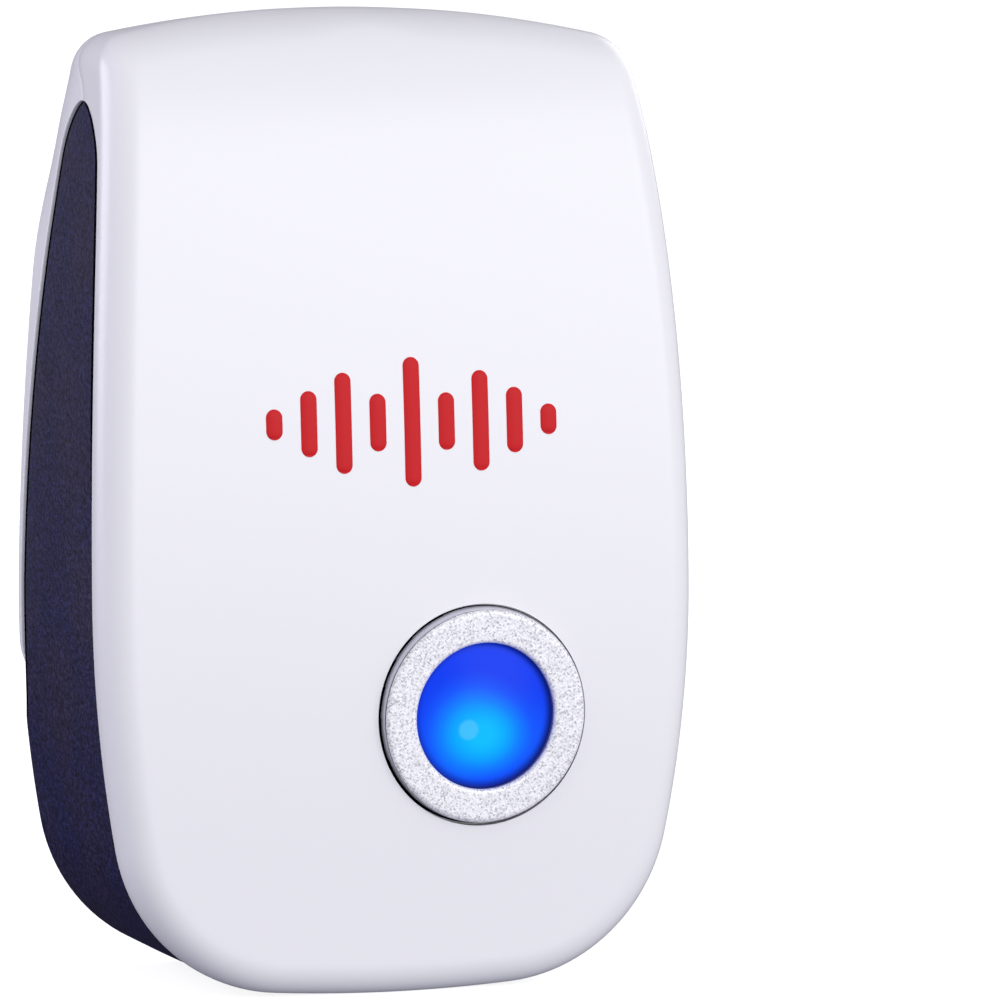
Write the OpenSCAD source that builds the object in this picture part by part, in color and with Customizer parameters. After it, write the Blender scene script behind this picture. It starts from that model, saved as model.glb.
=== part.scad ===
// Plug-in ultrasonic pest repeller.
// The origin is on the back of the casing, midway between the two plug blades.
// The back rests on the wall at y = 0, the front faces -Y and +Z is up.

/* [Casing] */
// Height of the casing
body_h = 96.3; // [94:0.1:100]
// Height of the plug blades above the bottom of the casing
blades_up = 48; // [47:0.1:49]
// Width of the casing at its widest
body_w = 62.4; // [60:0.2:66]
// Depth of the casing from the wall to the front
body_d = 27.2; // [26.4:0.2:30]
// Thickness of the casing walls
wall = 2; // [1.6:0.1:2.2]
// Radius of the rounded edge round the front
edge_r = 3.2; // [2.6:0.1:3.6]
// Height above the middle at which the casing is widest
widest_z = -8; // [-12:1:-4]

/* [Outline] */
// Radius of the arched top
top_r = 125; // [110:1:160]
// Radius of the two top corners
top_corner_r = 4; // [3.8:0.1:6]
// Radius of the sides above the widest point
upper_side_r = 400; // [350:5:500]
// Radius of the sides below the widest point
lower_side_r = 130; // [120:1:150]
// Radius of the two bottom corners
bottom_corner_r = 18; // [14:0.5:20]
// Radius of the shallow bottom
bottom_r = 170; // [150:1:220]

/* [Side band] */
// Height of the tip of the side panels below the top of the casing
tip_drop = 9.1; // [8:0.1:12]
// Distance of the tip of the side panels from the wall
tip_d = 9.9; // [9:0.1:10.8]
// Width of the white edge behind the side panels, near their tips
rear_strip = 5.8; // [5:0.1:6.4]
// Width of the white edge behind the side panels, low down
foot_strip = 1.1; // [0.9:0.1:1.6]
// Width of the white edge in front of the side panels
front_strip = 3.9; // [3.6:0.1:5]
// Clearance between the band and the covers
seam = 0.3; // [0.2:0.05:0.5]
// How far the band is set back from the outer face of the covers
band_recess = 0.3; // [0.2:0.05:0.6]

/* [Lamp window] */
// Distance of the lamp to the right of the middle
lamp_x = 8; // [6:0.5:9]
// Height of the lamp
lamp_z = -20.4; // [-22:0.2:-19]
// Outer radius of the ring
ring_r = 10.65; // [10:0.05:11.2]
// Radius of the lens
lens_r = 7.2; // [6.6:0.1:7.5]
// How far the ring stands out of the front
ring_proud = 1.15; // [0.6:0.05:1.6]
// Height of the lens dome above its rim
dome_h = 1.3; // [0.8:0.1:1.8]

/* [Print] */
// Middle of the print, to the right of the middle of the casing
print_x = 0.9; // [-1:0.1:2]
// Height of the middle of the print
print_z = 8.5; // [4:0.5:12]
// Width of one bar of the sound-level symbol
bar_w = 1.7; // [1.2:0.1:2]
// Distance from one bar to the next
bar_pitch = 3.6; // [3:0.1:3.8]

/* [Plug] */
// Distance between the middles of the two blades
blade_pitch = 12.7; // [12.6:0.1:12.8]
// Thickness of a blade
blade_t = 1.5; // [1.4:0.05:1.65]
// Width of a blade
blade_w = 6.35; // [6.2:0.05:6.5]
// Length of a blade out of the back
blade_len = 16.3; // [15.9:0.1:18.2]

/* [Hidden] */
$fn = 64;

// Casing outline, seen from the front.
bottom_z = -blades_up;
top_z = body_h - blades_up;
half_w = body_w / 2;

// The crossing with the larger x of a circle of radius ra round a and one of radius rb round b.
function circles_meet(a, ra, b, rb) =
    let (gap = norm(b - a),
         along = (gap * gap + ra * ra - rb * rb) / (2 * gap),
         aside = sqrt(ra * ra - along * along),
         u = (b - a) / gap,
         p = a + along * u,
         q = [p[0] + aside * abs(u[1]), p[1] - aside * u[0] * sign(u[1])])
    q;

function heading(from, to) = atan2(to[1] - from[1], to[0] - from[0]);

top_mid = [0, top_z - top_r];
bottom_mid = [0, bottom_r + bottom_z];
upper_side_mid = [half_w - upper_side_r, widest_z];
lower_side_mid = [half_w - lower_side_r, widest_z];
top_corner_mid = circles_meet(upper_side_mid, upper_side_r - top_corner_r, top_mid, top_r - top_corner_r);
bottom_corner_mid = circles_meet(lower_side_mid, lower_side_r - bottom_corner_r,
    bottom_mid, bottom_r - bottom_corner_r);

// A station is one place on the outline: [arc centre x, arc centre z, arc radius, angle].
function arc_stations(mid, r, from, to, steps) =
    [for (i = [0 : steps - 1]) [mid[0], mid[1], r, from + (to - from) * i / steps]];

bottom_end = heading(bottom_mid, bottom_corner_mid);
bottom_corner_end = heading(lower_side_mid, bottom_corner_mid);
top_corner_start = heading(upper_side_mid, top_corner_mid);
top_start = heading(top_mid, top_corner_mid);

// The side panels end in a tip, which has a station of its own and one close below it.
tip_z = top_z - tip_drop;
below_tip = 0.4;
band_top_z = tip_z - below_tip / 2;
blend_z = 16;
function side_angle(z) = asin((z - widest_z) / upper_side_r);

right_half = concat(
    arc_stations(bottom_mid, bottom_r, -90, bottom_end, 5),
    arc_stations(bottom_corner_mid, bottom_corner_r, bottom_end, bottom_corner_end, 10),
    arc_stations(lower_side_mid, lower_side_r, bottom_corner_end, 0, 6),
    arc_stations(upper_side_mid, upper_side_r, 0, side_angle(blend_z), 6),
    arc_stations(upper_side_mid, upper_side_r, side_angle(blend_z), side_angle(tip_z - below_tip), 9),
    arc_stations(upper_side_mid, upper_side_r, side_angle(tip_z - below_tip), side_angle(tip_z), 1),
    arc_stations(upper_side_mid, upper_side_r, side_angle(tip_z), top_corner_start, 3),
    arc_stations(top_corner_mid, top_corner_r, top_corner_start, top_start, 5),
    arc_stations(top_mid, top_r, top_start, 90, 6));
half_n = len(right_half);

function mirrored(s) = [-s[0], s[1], s[2], 180 - s[3]];

// Counted from the bottom middle, up the right side, over the top and down the left side.
outline = concat(right_half, [[top_mid[0], top_mid[1], top_r, 90]],
    [for (i = [half_n - 1 : -1 : 1]) mirrored(right_half[i])]);
outline_n = len(outline);

// The point of a station, moved inwards by inset.
function at(s, inset) = [s[0] + (s[2] - inset) * cos(s[3]), s[1] + (s[2] - inset) * sin(s[3])];

// Depth of the front face at height z: full below full_z, rolling back to crown_d at the top.
full_z = -36;
crown_d = 6.5;
crown_power = 0.37;
function rise(z) = min(1, max(0, (z - full_z) / (top_z + 0.05 - full_z)));
function front_depth(z) = crown_d + (body_d - crown_d) * pow(1 - pow(rise(z), 2), crown_power);
function inner_front_depth(z) = front_depth(z + wall / 2) - 0.85 * wall;

// Radius of the front edge at a station: it fades out where the crown rolls over the top.
function edge_at(s) = max(0.3, min(edge_r, front_depth(at(s, 0)[1]) - crown_d + 0.3));

function smooth(k) = let (c = min(1, max(0, k))) c * c * (3 - 2 * c);

// The shoulders: towards the wall, the top of the casing is drawn in.
shoulder = 3.6;
shoulder_from = 22;
shoulder_to = 46;
corner_from = 36;
corner_run = 8;
corner_depth = 2.5;
function draw_depth(z) = crown_d + corner_depth * smooth((z - corner_from) / corner_run);
function drawn_in(p, depth) =
    let (k = max(0, 1 - depth / draw_depth(p[1])),
         part = smooth((p[1] - shoulder_from) / (shoulder_to - shoulder_from)),
         pull = shoulder * part * (1 - sqrt(1 - k * k)),
         from = [0, min(p[1] - 1, 30)])
    p - pull * (p - from) / norm(p - from);

// A casing point at a station, moved inwards by inset, at a depth from the wall.
function casing_point(s, inset, depth) =
    let (p = drawn_in(at(s, inset), depth)) [p[0], -depth, p[1]];

// The leaf-shaped side panels run from the tip down to the underside.
front_blend = 6;
rear_blend = 6;
strip_foot_z = -12;
strip_end_z = -23;
function quarter(k) = let (c = 1 - min(1, max(0, k))) sqrt(1 - c * c);
function panel_front(z) =
    tip_d + (front_depth(z) - front_strip - tip_d) * quarter((tip_z - z) / front_blend);
function strip_width(z) = z > strip_foot_z
    ? foot_strip + (rear_strip - foot_strip) * pow((z - strip_foot_z) / (tip_z - strip_foot_z), 2)
    : foot_strip * (1 - pow(min(1, (strip_foot_z - z) / (strip_foot_z - strip_end_z)), 2));
function panel_rear(z) =
    let (w = strip_width(z)) w + (tip_d - w) * (1 - quarter((tip_z - z) / rear_blend));

// Above the tips the hood meets the rear cover in a seam that runs back towards the wall.
top_seam_d = 6.2;
seam_run = 5;
function seam_depth(z) = tip_d + (top_seam_d - tip_d) * smooth((z - tip_z) / seam_run);

// A closed skin: each ring is a list of the same number of points, and the two ends are closed
// by a middle point each.
module closed_skin(rings, first_mid, last_mid) {
    n = len(rings[0]);
    m = len(rings);
    points = concat([for (r = rings) each r], [first_mid, last_mid]);
    polyhedron(points = points, faces = concat(
        [for (i = [0 : n - 1]) [m * n, i, (i + 1) % n]],
        [for (k = [0 : m - 2], i = [0 : n - 1]) [k * n + i, (k + 1) * n + i, k * n + (i + 1) % n]],
        [for (k = [0 : m - 2], i = [0 : n - 1])
            [k * n + (i + 1) % n, (k + 1) * n + i, (k + 1) * n + (i + 1) % n]],
        [for (i = [0 : n - 1]) [m * n + 1, (m - 1) * n + (i + 1) % n, (m - 1) * n + i]]));
}

// Round pegs and bores along Y.
module peg(p, from, to, r) {
    translate([p[0], -from, p[1]])
        rotate([90, 0, 0])
            cylinder(h = to - from, r = r);
}

// Round-ended plate in the XZ plane, with its front at depth to.
module plate(p, size, from, to, r) {
    translate([p[0], -from, p[1]])
        rotate([90, 0, 0])
            linear_extrude(to - from)
                union() {
                    square([size[0] - 2 * r, size[1]], center = true);
                    square([size[0], size[1] - 2 * r], center = true);
                    for (x = [-1, 1], z = [-1, 1])
                        translate([x * (size[0] / 2 - r), z * (size[1] / 2 - r)])
                            circle(r = r, $fn = 32);
                }
}

// Casing screws and their posts.
post_r = 3;
post_root = 0.5;
pilot_r = 1.1;
screw_r = 1.05;
screw_head_r = 2.4;
screw_head_h = 1.1;
screw_len = 9;
post_places = [[-21, 32], [21, 32], [-22, -28], [22, -28]];
plate_t = 2.2;
head_seat = 1.2;

// Circuit board and its screws.
board_back = 9;
board_t = 1.6;
board_front = board_back + board_t;
board_size = [34, 60];
board_mid_z = -3;
standoff_r = 2.4;
standoff_places = [for (x = [-13.5, 13.5], z = [-29.5, 23.5]) [x, z]];
board_screw_r = 0.8;

ring_seat_d = front_depth(lamp_z) - 1;
ring_top_d = front_depth(lamp_z) + ring_proud;
spigot_r = 8.4;

// Skin of the hood, from its rim over the outer face and back over the inner face.
inner_scales = [0.93, 0.84, 0.7, 0.4];
outer_scales = [0.96, 0.91, 0.85, 0.77, 0.66, 0.5, 0.25];
edge_steps = 5;
function hood_rim(z) = z > band_top_z ? seam_depth(z) : panel_front(z);

// A ring shrunk towards the middle of the front, laid on the front face or on its inner face.
front_mid_z = -5;
function front_ring(inset, scale, inside) =
    [for (s = outline)
        let (p = at(s, inside ? inset : edge_at(s)),
             z = front_mid_z + (p[1] - front_mid_z) * scale,
             depth = inside ? inner_front_depth(z) : front_depth(z),
             q = drawn_in([p[0] * scale, z], depth))
        [q[0], -depth, q[1]]];

function edge_ring(k) =
    [for (s = outline)
        let (r = edge_at(s), a = 90 * k / edge_steps, inset = r * (1 - cos(a)))
        casing_point(s, inset, front_depth(at(s, inset)[1]) - r * (1 - sin(a)))];

hood_inner_mid = [0, -inner_front_depth(front_mid_z), front_mid_z];
hood_outer_mid = [0, -front_depth(front_mid_z), front_mid_z];
inner_corner = 0.8;
function inner_wall_end(s) =
    max(hood_rim(at(s, 0)[1]) + 0.2, inner_front_depth(at(s, wall)[1]) - inner_corner);

module hood_skin() {
    rings = concat(
        [for (k = [len(inner_scales) - 1 : -1 : 0]) front_ring(wall + inner_corner, inner_scales[k], true)],
        [front_ring(wall + inner_corner, 1, true)],
        [[for (s = outline) casing_point(s, wall, inner_wall_end(s))]],
        [[for (s = outline) casing_point(s, wall, hood_rim(at(s, 0)[1]))]],
        [[for (s = outline) casing_point(s, 0, hood_rim(at(s, 0)[1]))]],
        [for (k = [0 : edge_steps]) edge_ring(k)],
        [for (k = outer_scales) front_ring(0, k, false)]);
    closed_skin(rings, hood_inner_mid, hood_outer_mid);
}

module front_hood() {
    color("white")
        difference() {
            union() {
                hood_skin();
                for (p = post_places)
                    peg(p, plate_t + 0.1, inner_front_depth(p[1]) + post_root, post_r);
            }
            for (p = post_places)
                peg(p, plate_t, plate_t + screw_len, pilot_r);
            peg([lamp_x, lamp_z], ring_seat_d, body_d + 1, ring_r + seam);
            peg([lamp_x, lamp_z], body_d / 2, body_d, spigot_r + 0.1);
        }
}

// Where the rear strip gets thinner than this, the band reaches the wall instead.
thin_lip = 0.3;

// The band is one run of cross-sections from the right tip, round the underside, to the left tip.
band_wall = 1.9;
band_run = [for (i = [outline_n - 1 : -1 : 0])
    let (k = (i + half_n) % outline_n, s = outline[k])
    if (at(s, 0)[1] < band_top_z) s];

function band_section(s) =
    let (z = at(s, 0)[1],
         front = panel_front(z) - seam,
         rear = panel_rear(z) > thin_lip ? panel_rear(z) + seam : 0)
    [casing_point(s, band_recess, rear), casing_point(s, band_recess, front),
     casing_point(s, band_recess + band_wall, front), casing_point(s, band_recess + band_wall, rear)];

module band_skin() {
    sections = [for (s = band_run) band_section(s)];
    n = len(sections);
    polyhedron(points = [for (q = sections) each q], faces = concat(
        [[0, 1, 2], [0, 2, 3]],
        [for (k = [0 : n - 2], i = [0 : 3]) [4 * k + i, 4 * k + 4 + i, 4 * k + 4 + (i + 1) % 4]],
        [for (k = [0 : n - 2], i = [0 : 3]) [4 * k + i, 4 * k + 4 + (i + 1) % 4, 4 * k + (i + 1) % 4]],
        [[4 * n - 4, 4 * n - 2, 4 * n - 3], [4 * n - 4, 4 * n - 1, 4 * n - 2]]));
}

// Sounder, facing the slots in the underside.
sounder_r = 9;
sounder_d = 12.6;
sounder_rim_z = bottom_z + 3.2;
sounder_top_z = sounder_rim_z + 6.8;
sounder_wall = 0.9;
collar_wall = 1.15;
collar_top_z = sounder_rim_z + 2.8;
slot_w = 1.2;
slot_pitch = 2.4;
slot_reach = 7.4;
slot_side = 3;

module along_z(p, from, to, r) {
    translate([p[0], -p[1], from])
        cylinder(h = to - from, r = r);
}

module side_band() {
    color([0.19, 0.19, 0.31])
        difference() {
            union() {
                band_skin();
                difference() {
                    along_z([0, sounder_d], bottom_z + 0.5 + wall / 2, collar_top_z,
                        sounder_r + collar_wall);
                    along_z([0, sounder_d], bottom_z, collar_top_z + 1, sounder_r + 0.1);
                }
            }
            for (k = [-slot_side : slot_side]) {
                x = k * slot_pitch;
                half_l = sqrt(slot_reach * slot_reach - x * x);
                translate([x - slot_w / 2, -sounder_d - half_l, bottom_z - 1])
                    cube([slot_w, 2 * half_l, wall + 3]);
            }
        }
}

// The rear cover is a plate that lies inside the band low down, and reaches the outer face, with
// an edge of its own, above the foot of its white strip.
cover_inset = band_recess + band_wall + 0.15;
function lip_inset(z) = panel_rear(z) > thin_lip ? 0 : cover_inset;
function lip_depth(z) = z > band_top_z ? seam_depth(z) : max(thin_lip, panel_rear(z));

module cover_skin() {
    function ring(inset, part) = [for (s = outline)
        let (z = at(s, 0)[1]) casing_point(s, lip_inset(z) + inset, lip_depth(z) * part)];
    function floor_ring() = [for (s = outline) casing_point(s, max(wall, cover_inset) + 0.05, plate_t)];
    closed_skin([ring(0.5, 0), ring(0, 0.2), ring(0, 1), ring(wall - 0.2, 1), floor_ring()],
        [0, 0, 0], [0, -plate_t, 0]);
}

blade_slot_play = 0.1;
label_size = [30, 17];
label_z = -22;
label_t = 0.15;
label_r = 1.5;

module rear_cover() {
    color([0.93, 0.93, 0.95])
        difference() {
            union() {
                cover_skin();
                for (p = standoff_places)
                    peg(p, plate_t / 2, board_back, standoff_r);
            }
            for (p = post_places) {
                peg(p, -1, plate_t + 1, pilot_r + 0.2);
                peg(p, -1, head_seat, screw_head_r + 0.2);
            }
            for (p = standoff_places)
                peg(p, plate_t + 1, board_back + 1, board_screw_r + 0.05);
            for (x = [-1, 1])
                translate([x * blade_pitch / 2, 0, 0])
                    cube([blade_t + blade_slot_play, 3 * plate_t, blade_w + blade_slot_play],
                        center = true);
            plate([0, label_z], label_size + [0.4, 0.4], -1, label_t, label_r);
        }
}

// A pan-head screw with a cross recess, driven towards the front.
module screw(p, head_at, head_r, head_h, shank_r, len) {
    difference() {
        union() {
            peg(p, head_at, head_at + head_h, head_r);
            peg(p, head_at, head_at + head_h + len, shank_r);
        }
        for (a = [0, 90])
            translate([p[0], -head_at, p[1]])
                rotate([0, a, 0])
                    cube([head_r * 1.1, head_h * 1.2, head_r * 0.28], center = true);
    }
}

module rear_screws() {
    color("silver")
        for (p = post_places)
            screw(p, head_seat - screw_head_h, screw_head_r, screw_head_h, screw_r, screw_len);
}

module rating_label() {
    color("gainsboro")
        plate([0, label_z], label_size, 0.02, label_t, label_r);
}

// The ring sits in a round seat in the hood and its spigot passes through to the inside.
ring_lip = 0.5;
ring_land = 0.3;
spigot_len = 3.2;
spigot_end_d = ring_seat_d - spigot_len;
lens_drop = 0.8;
lens_seat_d = ring_top_d - lens_drop;
lens_play = 0.05;

module bezel_ring() {
    color([0.82, 0.83, 0.86])
        translate([lamp_x, 0, lamp_z])
            rotate([90, 0, 0])
                rotate_extrude($fn = 96)
                    polygon([[lens_r + lens_play, spigot_end_d], [spigot_r, spigot_end_d],
                        [spigot_r, ring_seat_d + 0.02], [ring_r, ring_seat_d + 0.02],
                        [ring_r, ring_top_d - ring_lip], [ring_r - 0.15, ring_top_d - 0.15],
                        [ring_r - ring_lip, ring_top_d], [lens_r + ring_lip + ring_land, ring_top_d],
                        [lens_r + lens_play, lens_seat_d]]);
}

// Lens: a domed cap with a skirt that fits in the ring.
lens_wall = 1.2;
dome_ball_r = (lens_r * lens_r + dome_h * dome_h) / (2 * dome_h);
dome_top_d = lens_seat_d + dome_h;
module light_lens() {
    color([0.1, 0.45, 1, 0.85])
        translate([lamp_x, 0, lamp_z])
            rotate([90, 0, 0])
                difference() {
                    intersection() {
                        translate([0, 0, spigot_end_d + 0.4])
                            cylinder(h = body_d, r = lens_r, $fn = 96);
                        translate([0, 0, dome_top_d - dome_ball_r])
                            sphere(r = dome_ball_r, $fn = 96);
                    }
                    translate([0, 0, spigot_end_d])
                        cylinder(h = lens_seat_d - lens_wall - spigot_end_d, r = lens_r - lens_wall);
                }
}

// White reflector between the lamp and the lens.
cup_front_d = spigot_end_d + 0.2;
cup_r = lens_r - lens_wall - 0.1;
cup_foot_r = 2.9;
cup_foot_d = board_front + 1.2;
module light_cup() {
    color("white")
        translate([lamp_x, 0, lamp_z])
            rotate([90, 0, 0])
                rotate_extrude()
                    polygon([[cup_foot_r, cup_foot_d], [cup_foot_r + 1, cup_foot_d],
                        [cup_r, cup_front_d + 1], [cup_r, cup_front_d + 1.5],
                        [cup_r - 1, cup_front_d + 1.5], [cup_foot_r, cup_foot_d + 1.2]]);
}

led_r = 2.5;
led_len = 5.6;
led_base_d = board_front + 2.6;
module blue_led() {
    color([0.75, 0.88, 1])
        translate([lamp_x, 0, lamp_z])
            rotate([90, 0, 0])
                rotate_extrude()
                    union() {
                        translate([0, led_base_d])
                            square([led_r + 0.3, 1]);
                        translate([0, led_base_d])
                            square([led_r, led_len]);
                        intersection() {
                            translate([0, led_base_d + led_len])
                                circle(r = led_r);
                            square([led_r, body_d]);
                        }
                    }
}

led_leg = 0.5;
led_leg_end = 0.8;
module led_legs() {
    color("silver")
        for (k = [-0.5, 0.5])
            translate([lamp_x + k * pin_pitch - led_leg / 2, -led_base_d, lamp_z - led_leg / 2])
                cube([led_leg, led_base_d - board_back + led_leg_end, led_leg]);
}

// Printed symbol: bars of a sound level, laid on the sloping front.
bar_heights = [3, 6.4, 9.8, 5.6, 12.6, 5.6, 9.8, 6.4, 3];
print_rise = 0.06;
print_root = 0.1;
print_slope = front_depth(print_z - 4) - front_depth(print_z + 4);
module front_print() {
    color([0.82, 0.08, 0.11])
        translate([print_x, -front_depth(print_z), print_z])
            rotate([90 - atan(print_slope / 8), 0, 0])
                for (k = [0 : len(bar_heights) - 1]) {
                    x = (k - (len(bar_heights) - 1) / 2) * bar_pitch;
                    straight = bar_heights[k] - bar_w;
                    translate([x, 0, -print_root])
                        linear_extrude(print_rise + print_root)
                            union() {
                                square([bar_w, straight], center = true);
                                for (z = [-1, 1])
                                    translate([0, z * straight / 2])
                                        circle(d = bar_w, $fn = 32);
                            }
                }
}

// A flat blade with a cut-back tip and a round detent hole.
blade_root = 8.1;
blade_hole_r = 1.6;
blade_hole_y = 11.7;
blade_tip = 1.6;
module blade(side) {
    color([0.85, 0.76, 0.5])
        translate([side * blade_pitch / 2 - blade_t / 2, 0, 0])
            difference() {
                rotate([90, 0, 90])
                    linear_extrude(blade_t)
                        polygon([[-blade_root, -blade_w / 2], [blade_len - blade_tip, -blade_w / 2],
                            [blade_len, blade_tip - blade_w / 2], [blade_len, blade_w / 2 - blade_tip],
                            [blade_len - blade_tip, blade_w / 2], [-blade_root, blade_w / 2]]);
                translate([-1, blade_hole_y, 0])
                    rotate([0, 90, 0])
                        cylinder(h = blade_t + 2, r = blade_hole_r);
            }
}

carrier_size = [23, 12.5];
carrier_front_d = 7.4;
carrier_corner_r = 1.5;
module blade_carrier() {
    color([0.85, 0.85, 0.84])
        difference() {
            plate([0, 0], carrier_size, plate_t, carrier_front_d, carrier_corner_r);
            for (x = [-1, 1])
                translate([x * blade_pitch / 2, 0, 0])
                    cube([blade_t, 3 * blade_root, blade_w], center = true);
        }
}

// A lead with one square bend: out of one place along Z, then along Y.
module bent_lead(x, z_from, z_bend, y_run, y_end, r) {
    translate([x, y_run, min(z_from, z_bend)])
        cylinder(h = abs(z_bend - z_from), r = r, $fn = 24);
    translate([x, y_run, z_bend])
        sphere(r = r, $fn = 24);
    translate([x, max(y_run, y_end), z_bend])
        rotate([90, 0, 0])
            cylinder(h = abs(y_end - y_run), r = r, $fn = 24);
}

lead_r = 0.6;
lead_bend_z = -8.5;
lead_gap = 0.05;
module mains_leads() {
    color([0.75, 0.1, 0.1])
        for (x = [-1, 1])
            bent_lead(x * blade_pitch / 2, -blade_w / 2 - lead_gap, lead_bend_z,
                -carrier_front_d - lead_r - lead_gap, -board_back, lead_r);
}

module main_board() {
    color([0.1, 0.38, 0.2])
        difference() {
            plate([0, board_mid_z], board_size, board_back, board_front, 1);
            for (p = standoff_places)
                peg(p, board_back - 1, board_front + 1, board_screw_r + 0.3);
            for (k = [-0.5, 0.5])
                translate([lamp_x + k * pin_pitch, -board_back, lamp_z])
                    cube([led_leg + 0.1, 4 * board_t, led_leg + 0.1], center = true);
        }
}

module board_screws() {
    color("silver")
        for (p = standoff_places)
            translate([p[0], 0, p[1]])
                mirror([0, 1, 0])
                    translate([-p[0], 0, -p[1]])
                        screw(p, -board_front - 1, 1.7, 1, board_screw_r, 4.6);
}

// Parts on the board stand on its front face, each at its place in x and z.
resistor_place = [13.5, 10];
film_place = [-3, 16];
first_diode = [-10, 8];
diode_pitch = 3.4;
smoothing_place = [5, 4];
chip_place = [6, -6.5];
coil_place = [-9.5, -14.5];
transistor_x = -6.5;
transistor_z = [-24.5, -30];
chip_resistor_x = [-3.5, 0];
chip_resistor_z = [-12.5, -16, -19.5];
lead_wire_r = 0.35;
pin_pitch = 2.54;

module on_board(place) {
    translate([place[0], -board_front, place[1]])
        children();
}

module axial_part(half_l, r, lead, height) {
    translate([-half_l, -height, 0])
        rotate([0, 90, 0])
            cylinder(h = 2 * half_l, r = r, $fn = 32);
    for (x = [-1, 1]) {
        translate([x * (half_l + 1) - 1, -height, 0])
            rotate([0, 90, 0])
                cylinder(h = 2, r = lead, $fn = 16);
        translate([x * (half_l + 2), lead - 0.4, 0])
            rotate([90, 0, 0])
                cylinder(h = height + lead * 2 - 0.4, r = lead, $fn = 16);
    }
}

module fusible_resistor() {
    color([0.35, 0.55, 0.6])
        on_board(resistor_place)
            rotate([0, 90, 0])
                axial_part(4.5, 1.75, lead_wire_r, 2.6);
}

film_size = [18, 8.8, 8];
film_lift = 0.5;
film_pins = 15;
module film_capacitor() {
    color([0.85, 0.2, 0.15])
        on_board(film_place)
            union() {
                translate([-film_size[0] / 2, -film_size[1] - film_lift, -film_size[2] / 2])
                    cube(film_size);
                for (x = [-1, 1])
                    translate([x * film_pins / 2 - lead_wire_r, -film_lift * 2, -lead_wire_r])
                        cube([2 * lead_wire_r, film_lift * 3, 2 * lead_wire_r]);
            }
}

module bridge_diodes() {
    color([0.15, 0.15, 0.16])
        for (k = [0 : 3])
            on_board(first_diode - [0, diode_pitch * k])
                axial_part(2.4, 1.3, lead_wire_r, 1.9);
}

can_r = 4;
can_len = 11.4;
module smoothing_capacitor() {
    color([0.12, 0.14, 0.3])
        on_board(smoothing_place)
            rotate([90, 0, 0])
                union() {
                    rotate_extrude()
                        polygon([[0, 0.3], [can_r - 0.4, 0.3], [can_r, 0.7], [can_r, 1.6],
                            [can_r - 0.3, 1.9], [can_r, 2.2], [can_r, can_len - 0.3],
                            [can_r - 0.3, can_len], [can_r - 0.6, can_len],
                            [can_r - 0.8, can_len - 0.2], [0, can_len - 0.2]]);
                    for (x = [-1.75, 1.75])
                        translate([x, 0, -0.5])
                            cylinder(h = 1, r = 0.3, $fn = 16);
                }
}

chip_size = [9.6, 3.3, 6.4];
chip_lift = 0.6;
chip_leg = [0.6, 3, 1];
module controller_chip() {
    color([0.14, 0.14, 0.15])
        on_board(chip_place)
            union() {
                translate([-chip_size[0] / 2, -chip_size[1] - chip_lift, -chip_size[2] / 2])
                    cube(chip_size);
                for (k = [-1.5 : 1.5], z = [-1, 1])
                    translate([k * pin_pitch - chip_leg[0] / 2, -2.6, z * 3.6 - chip_leg[2] / 2])
                        cube(chip_leg);
            }
}

coil_r = 5;
coil_neck_r = 2.4;
coil_foot = [0.2, 1.6];
coil_head = [8.4, 9.8];
module coil_core() {
    color([0.25, 0.25, 0.26])
        on_board(coil_place)
            rotate([90, 0, 0])
                rotate_extrude()
                    polygon([[0, coil_foot[0]], [coil_r, coil_foot[0]], [coil_r, coil_foot[1]],
                        [coil_neck_r, coil_foot[1]], [coil_neck_r, coil_head[0]],
                        [coil_r, coil_head[0]], [coil_r, coil_head[1]], [0, coil_head[1]]]);
}

wire_gap = 0.05;
wire_depth = 2.1;
module coil_winding() {
    color([0.72, 0.38, 0.18])
        on_board(coil_place)
            rotate([90, 0, 0])
                rotate_extrude()
                    translate([coil_neck_r + wire_gap, coil_foot[1] + wire_gap])
                        square([wire_depth, coil_head[0] - coil_foot[1] - 2 * wire_gap]);
}

module drive_transistors() {
    color([0.15, 0.15, 0.16])
        for (z = transistor_z)
            on_board([transistor_x, z])
                union() {
                    intersection() {
                        translate([0, -2.5, 0])
                            rotate([90, 0, 0])
                                cylinder(h = 4.6, r = 2.4, $fn = 48);
                        translate([-3, -8, -1.2])
                            cube([6, 7, 4]);
                    }
                    for (k = [-0.5 : 0.5 : 0.5])
                        translate([k * pin_pitch - 0.25, -2.6, -0.25])
                            cube([0.5, 3, 0.5]);
                }
}

module chip_resistors() {
    color([0.2, 0.2, 0.22])
        for (x = chip_resistor_x, z = chip_resistor_z)
            on_board([x, z])
                translate([-0.8, -0.65, -0.6])
                    cube([1.9, 0.63, 1.2]);
}

module sounder_cup() {
    color([0.2, 0.2, 0.21])
        translate([0, -sounder_d, 0])
            rotate_extrude()
                polygon([[0, sounder_top_z], [sounder_r, sounder_top_z], [sounder_r, sounder_rim_z],
                    [sounder_r - sounder_wall, sounder_rim_z],
                    [sounder_r - sounder_wall, sounder_top_z - 1], [0, sounder_top_z - 1]]);
}

disc_z = sounder_rim_z + 2.7;
disc_t = 0.3;
ceramic_r = 5.6;
module sounder_plate() {
    color([0.86, 0.7, 0.32])
        along_z([0, sounder_d], disc_z - disc_t, disc_z, sounder_r - 1);
}

module sounder_ceramic() {
    color([0.9, 0.88, 0.82])
        along_z([0, sounder_d], disc_z, disc_z + disc_t, ceramic_r);
}

gasket_t = 0.6;
module sounder_gasket() {
    color([0.16, 0.16, 0.17])
        difference() {
            along_z([0, sounder_d], sounder_rim_z - gasket_t, sounder_rim_z, sounder_r);
            along_z([0, sounder_d], sounder_rim_z - 2, sounder_rim_z + 1, sounder_r - 1.3);
        }
}

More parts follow.
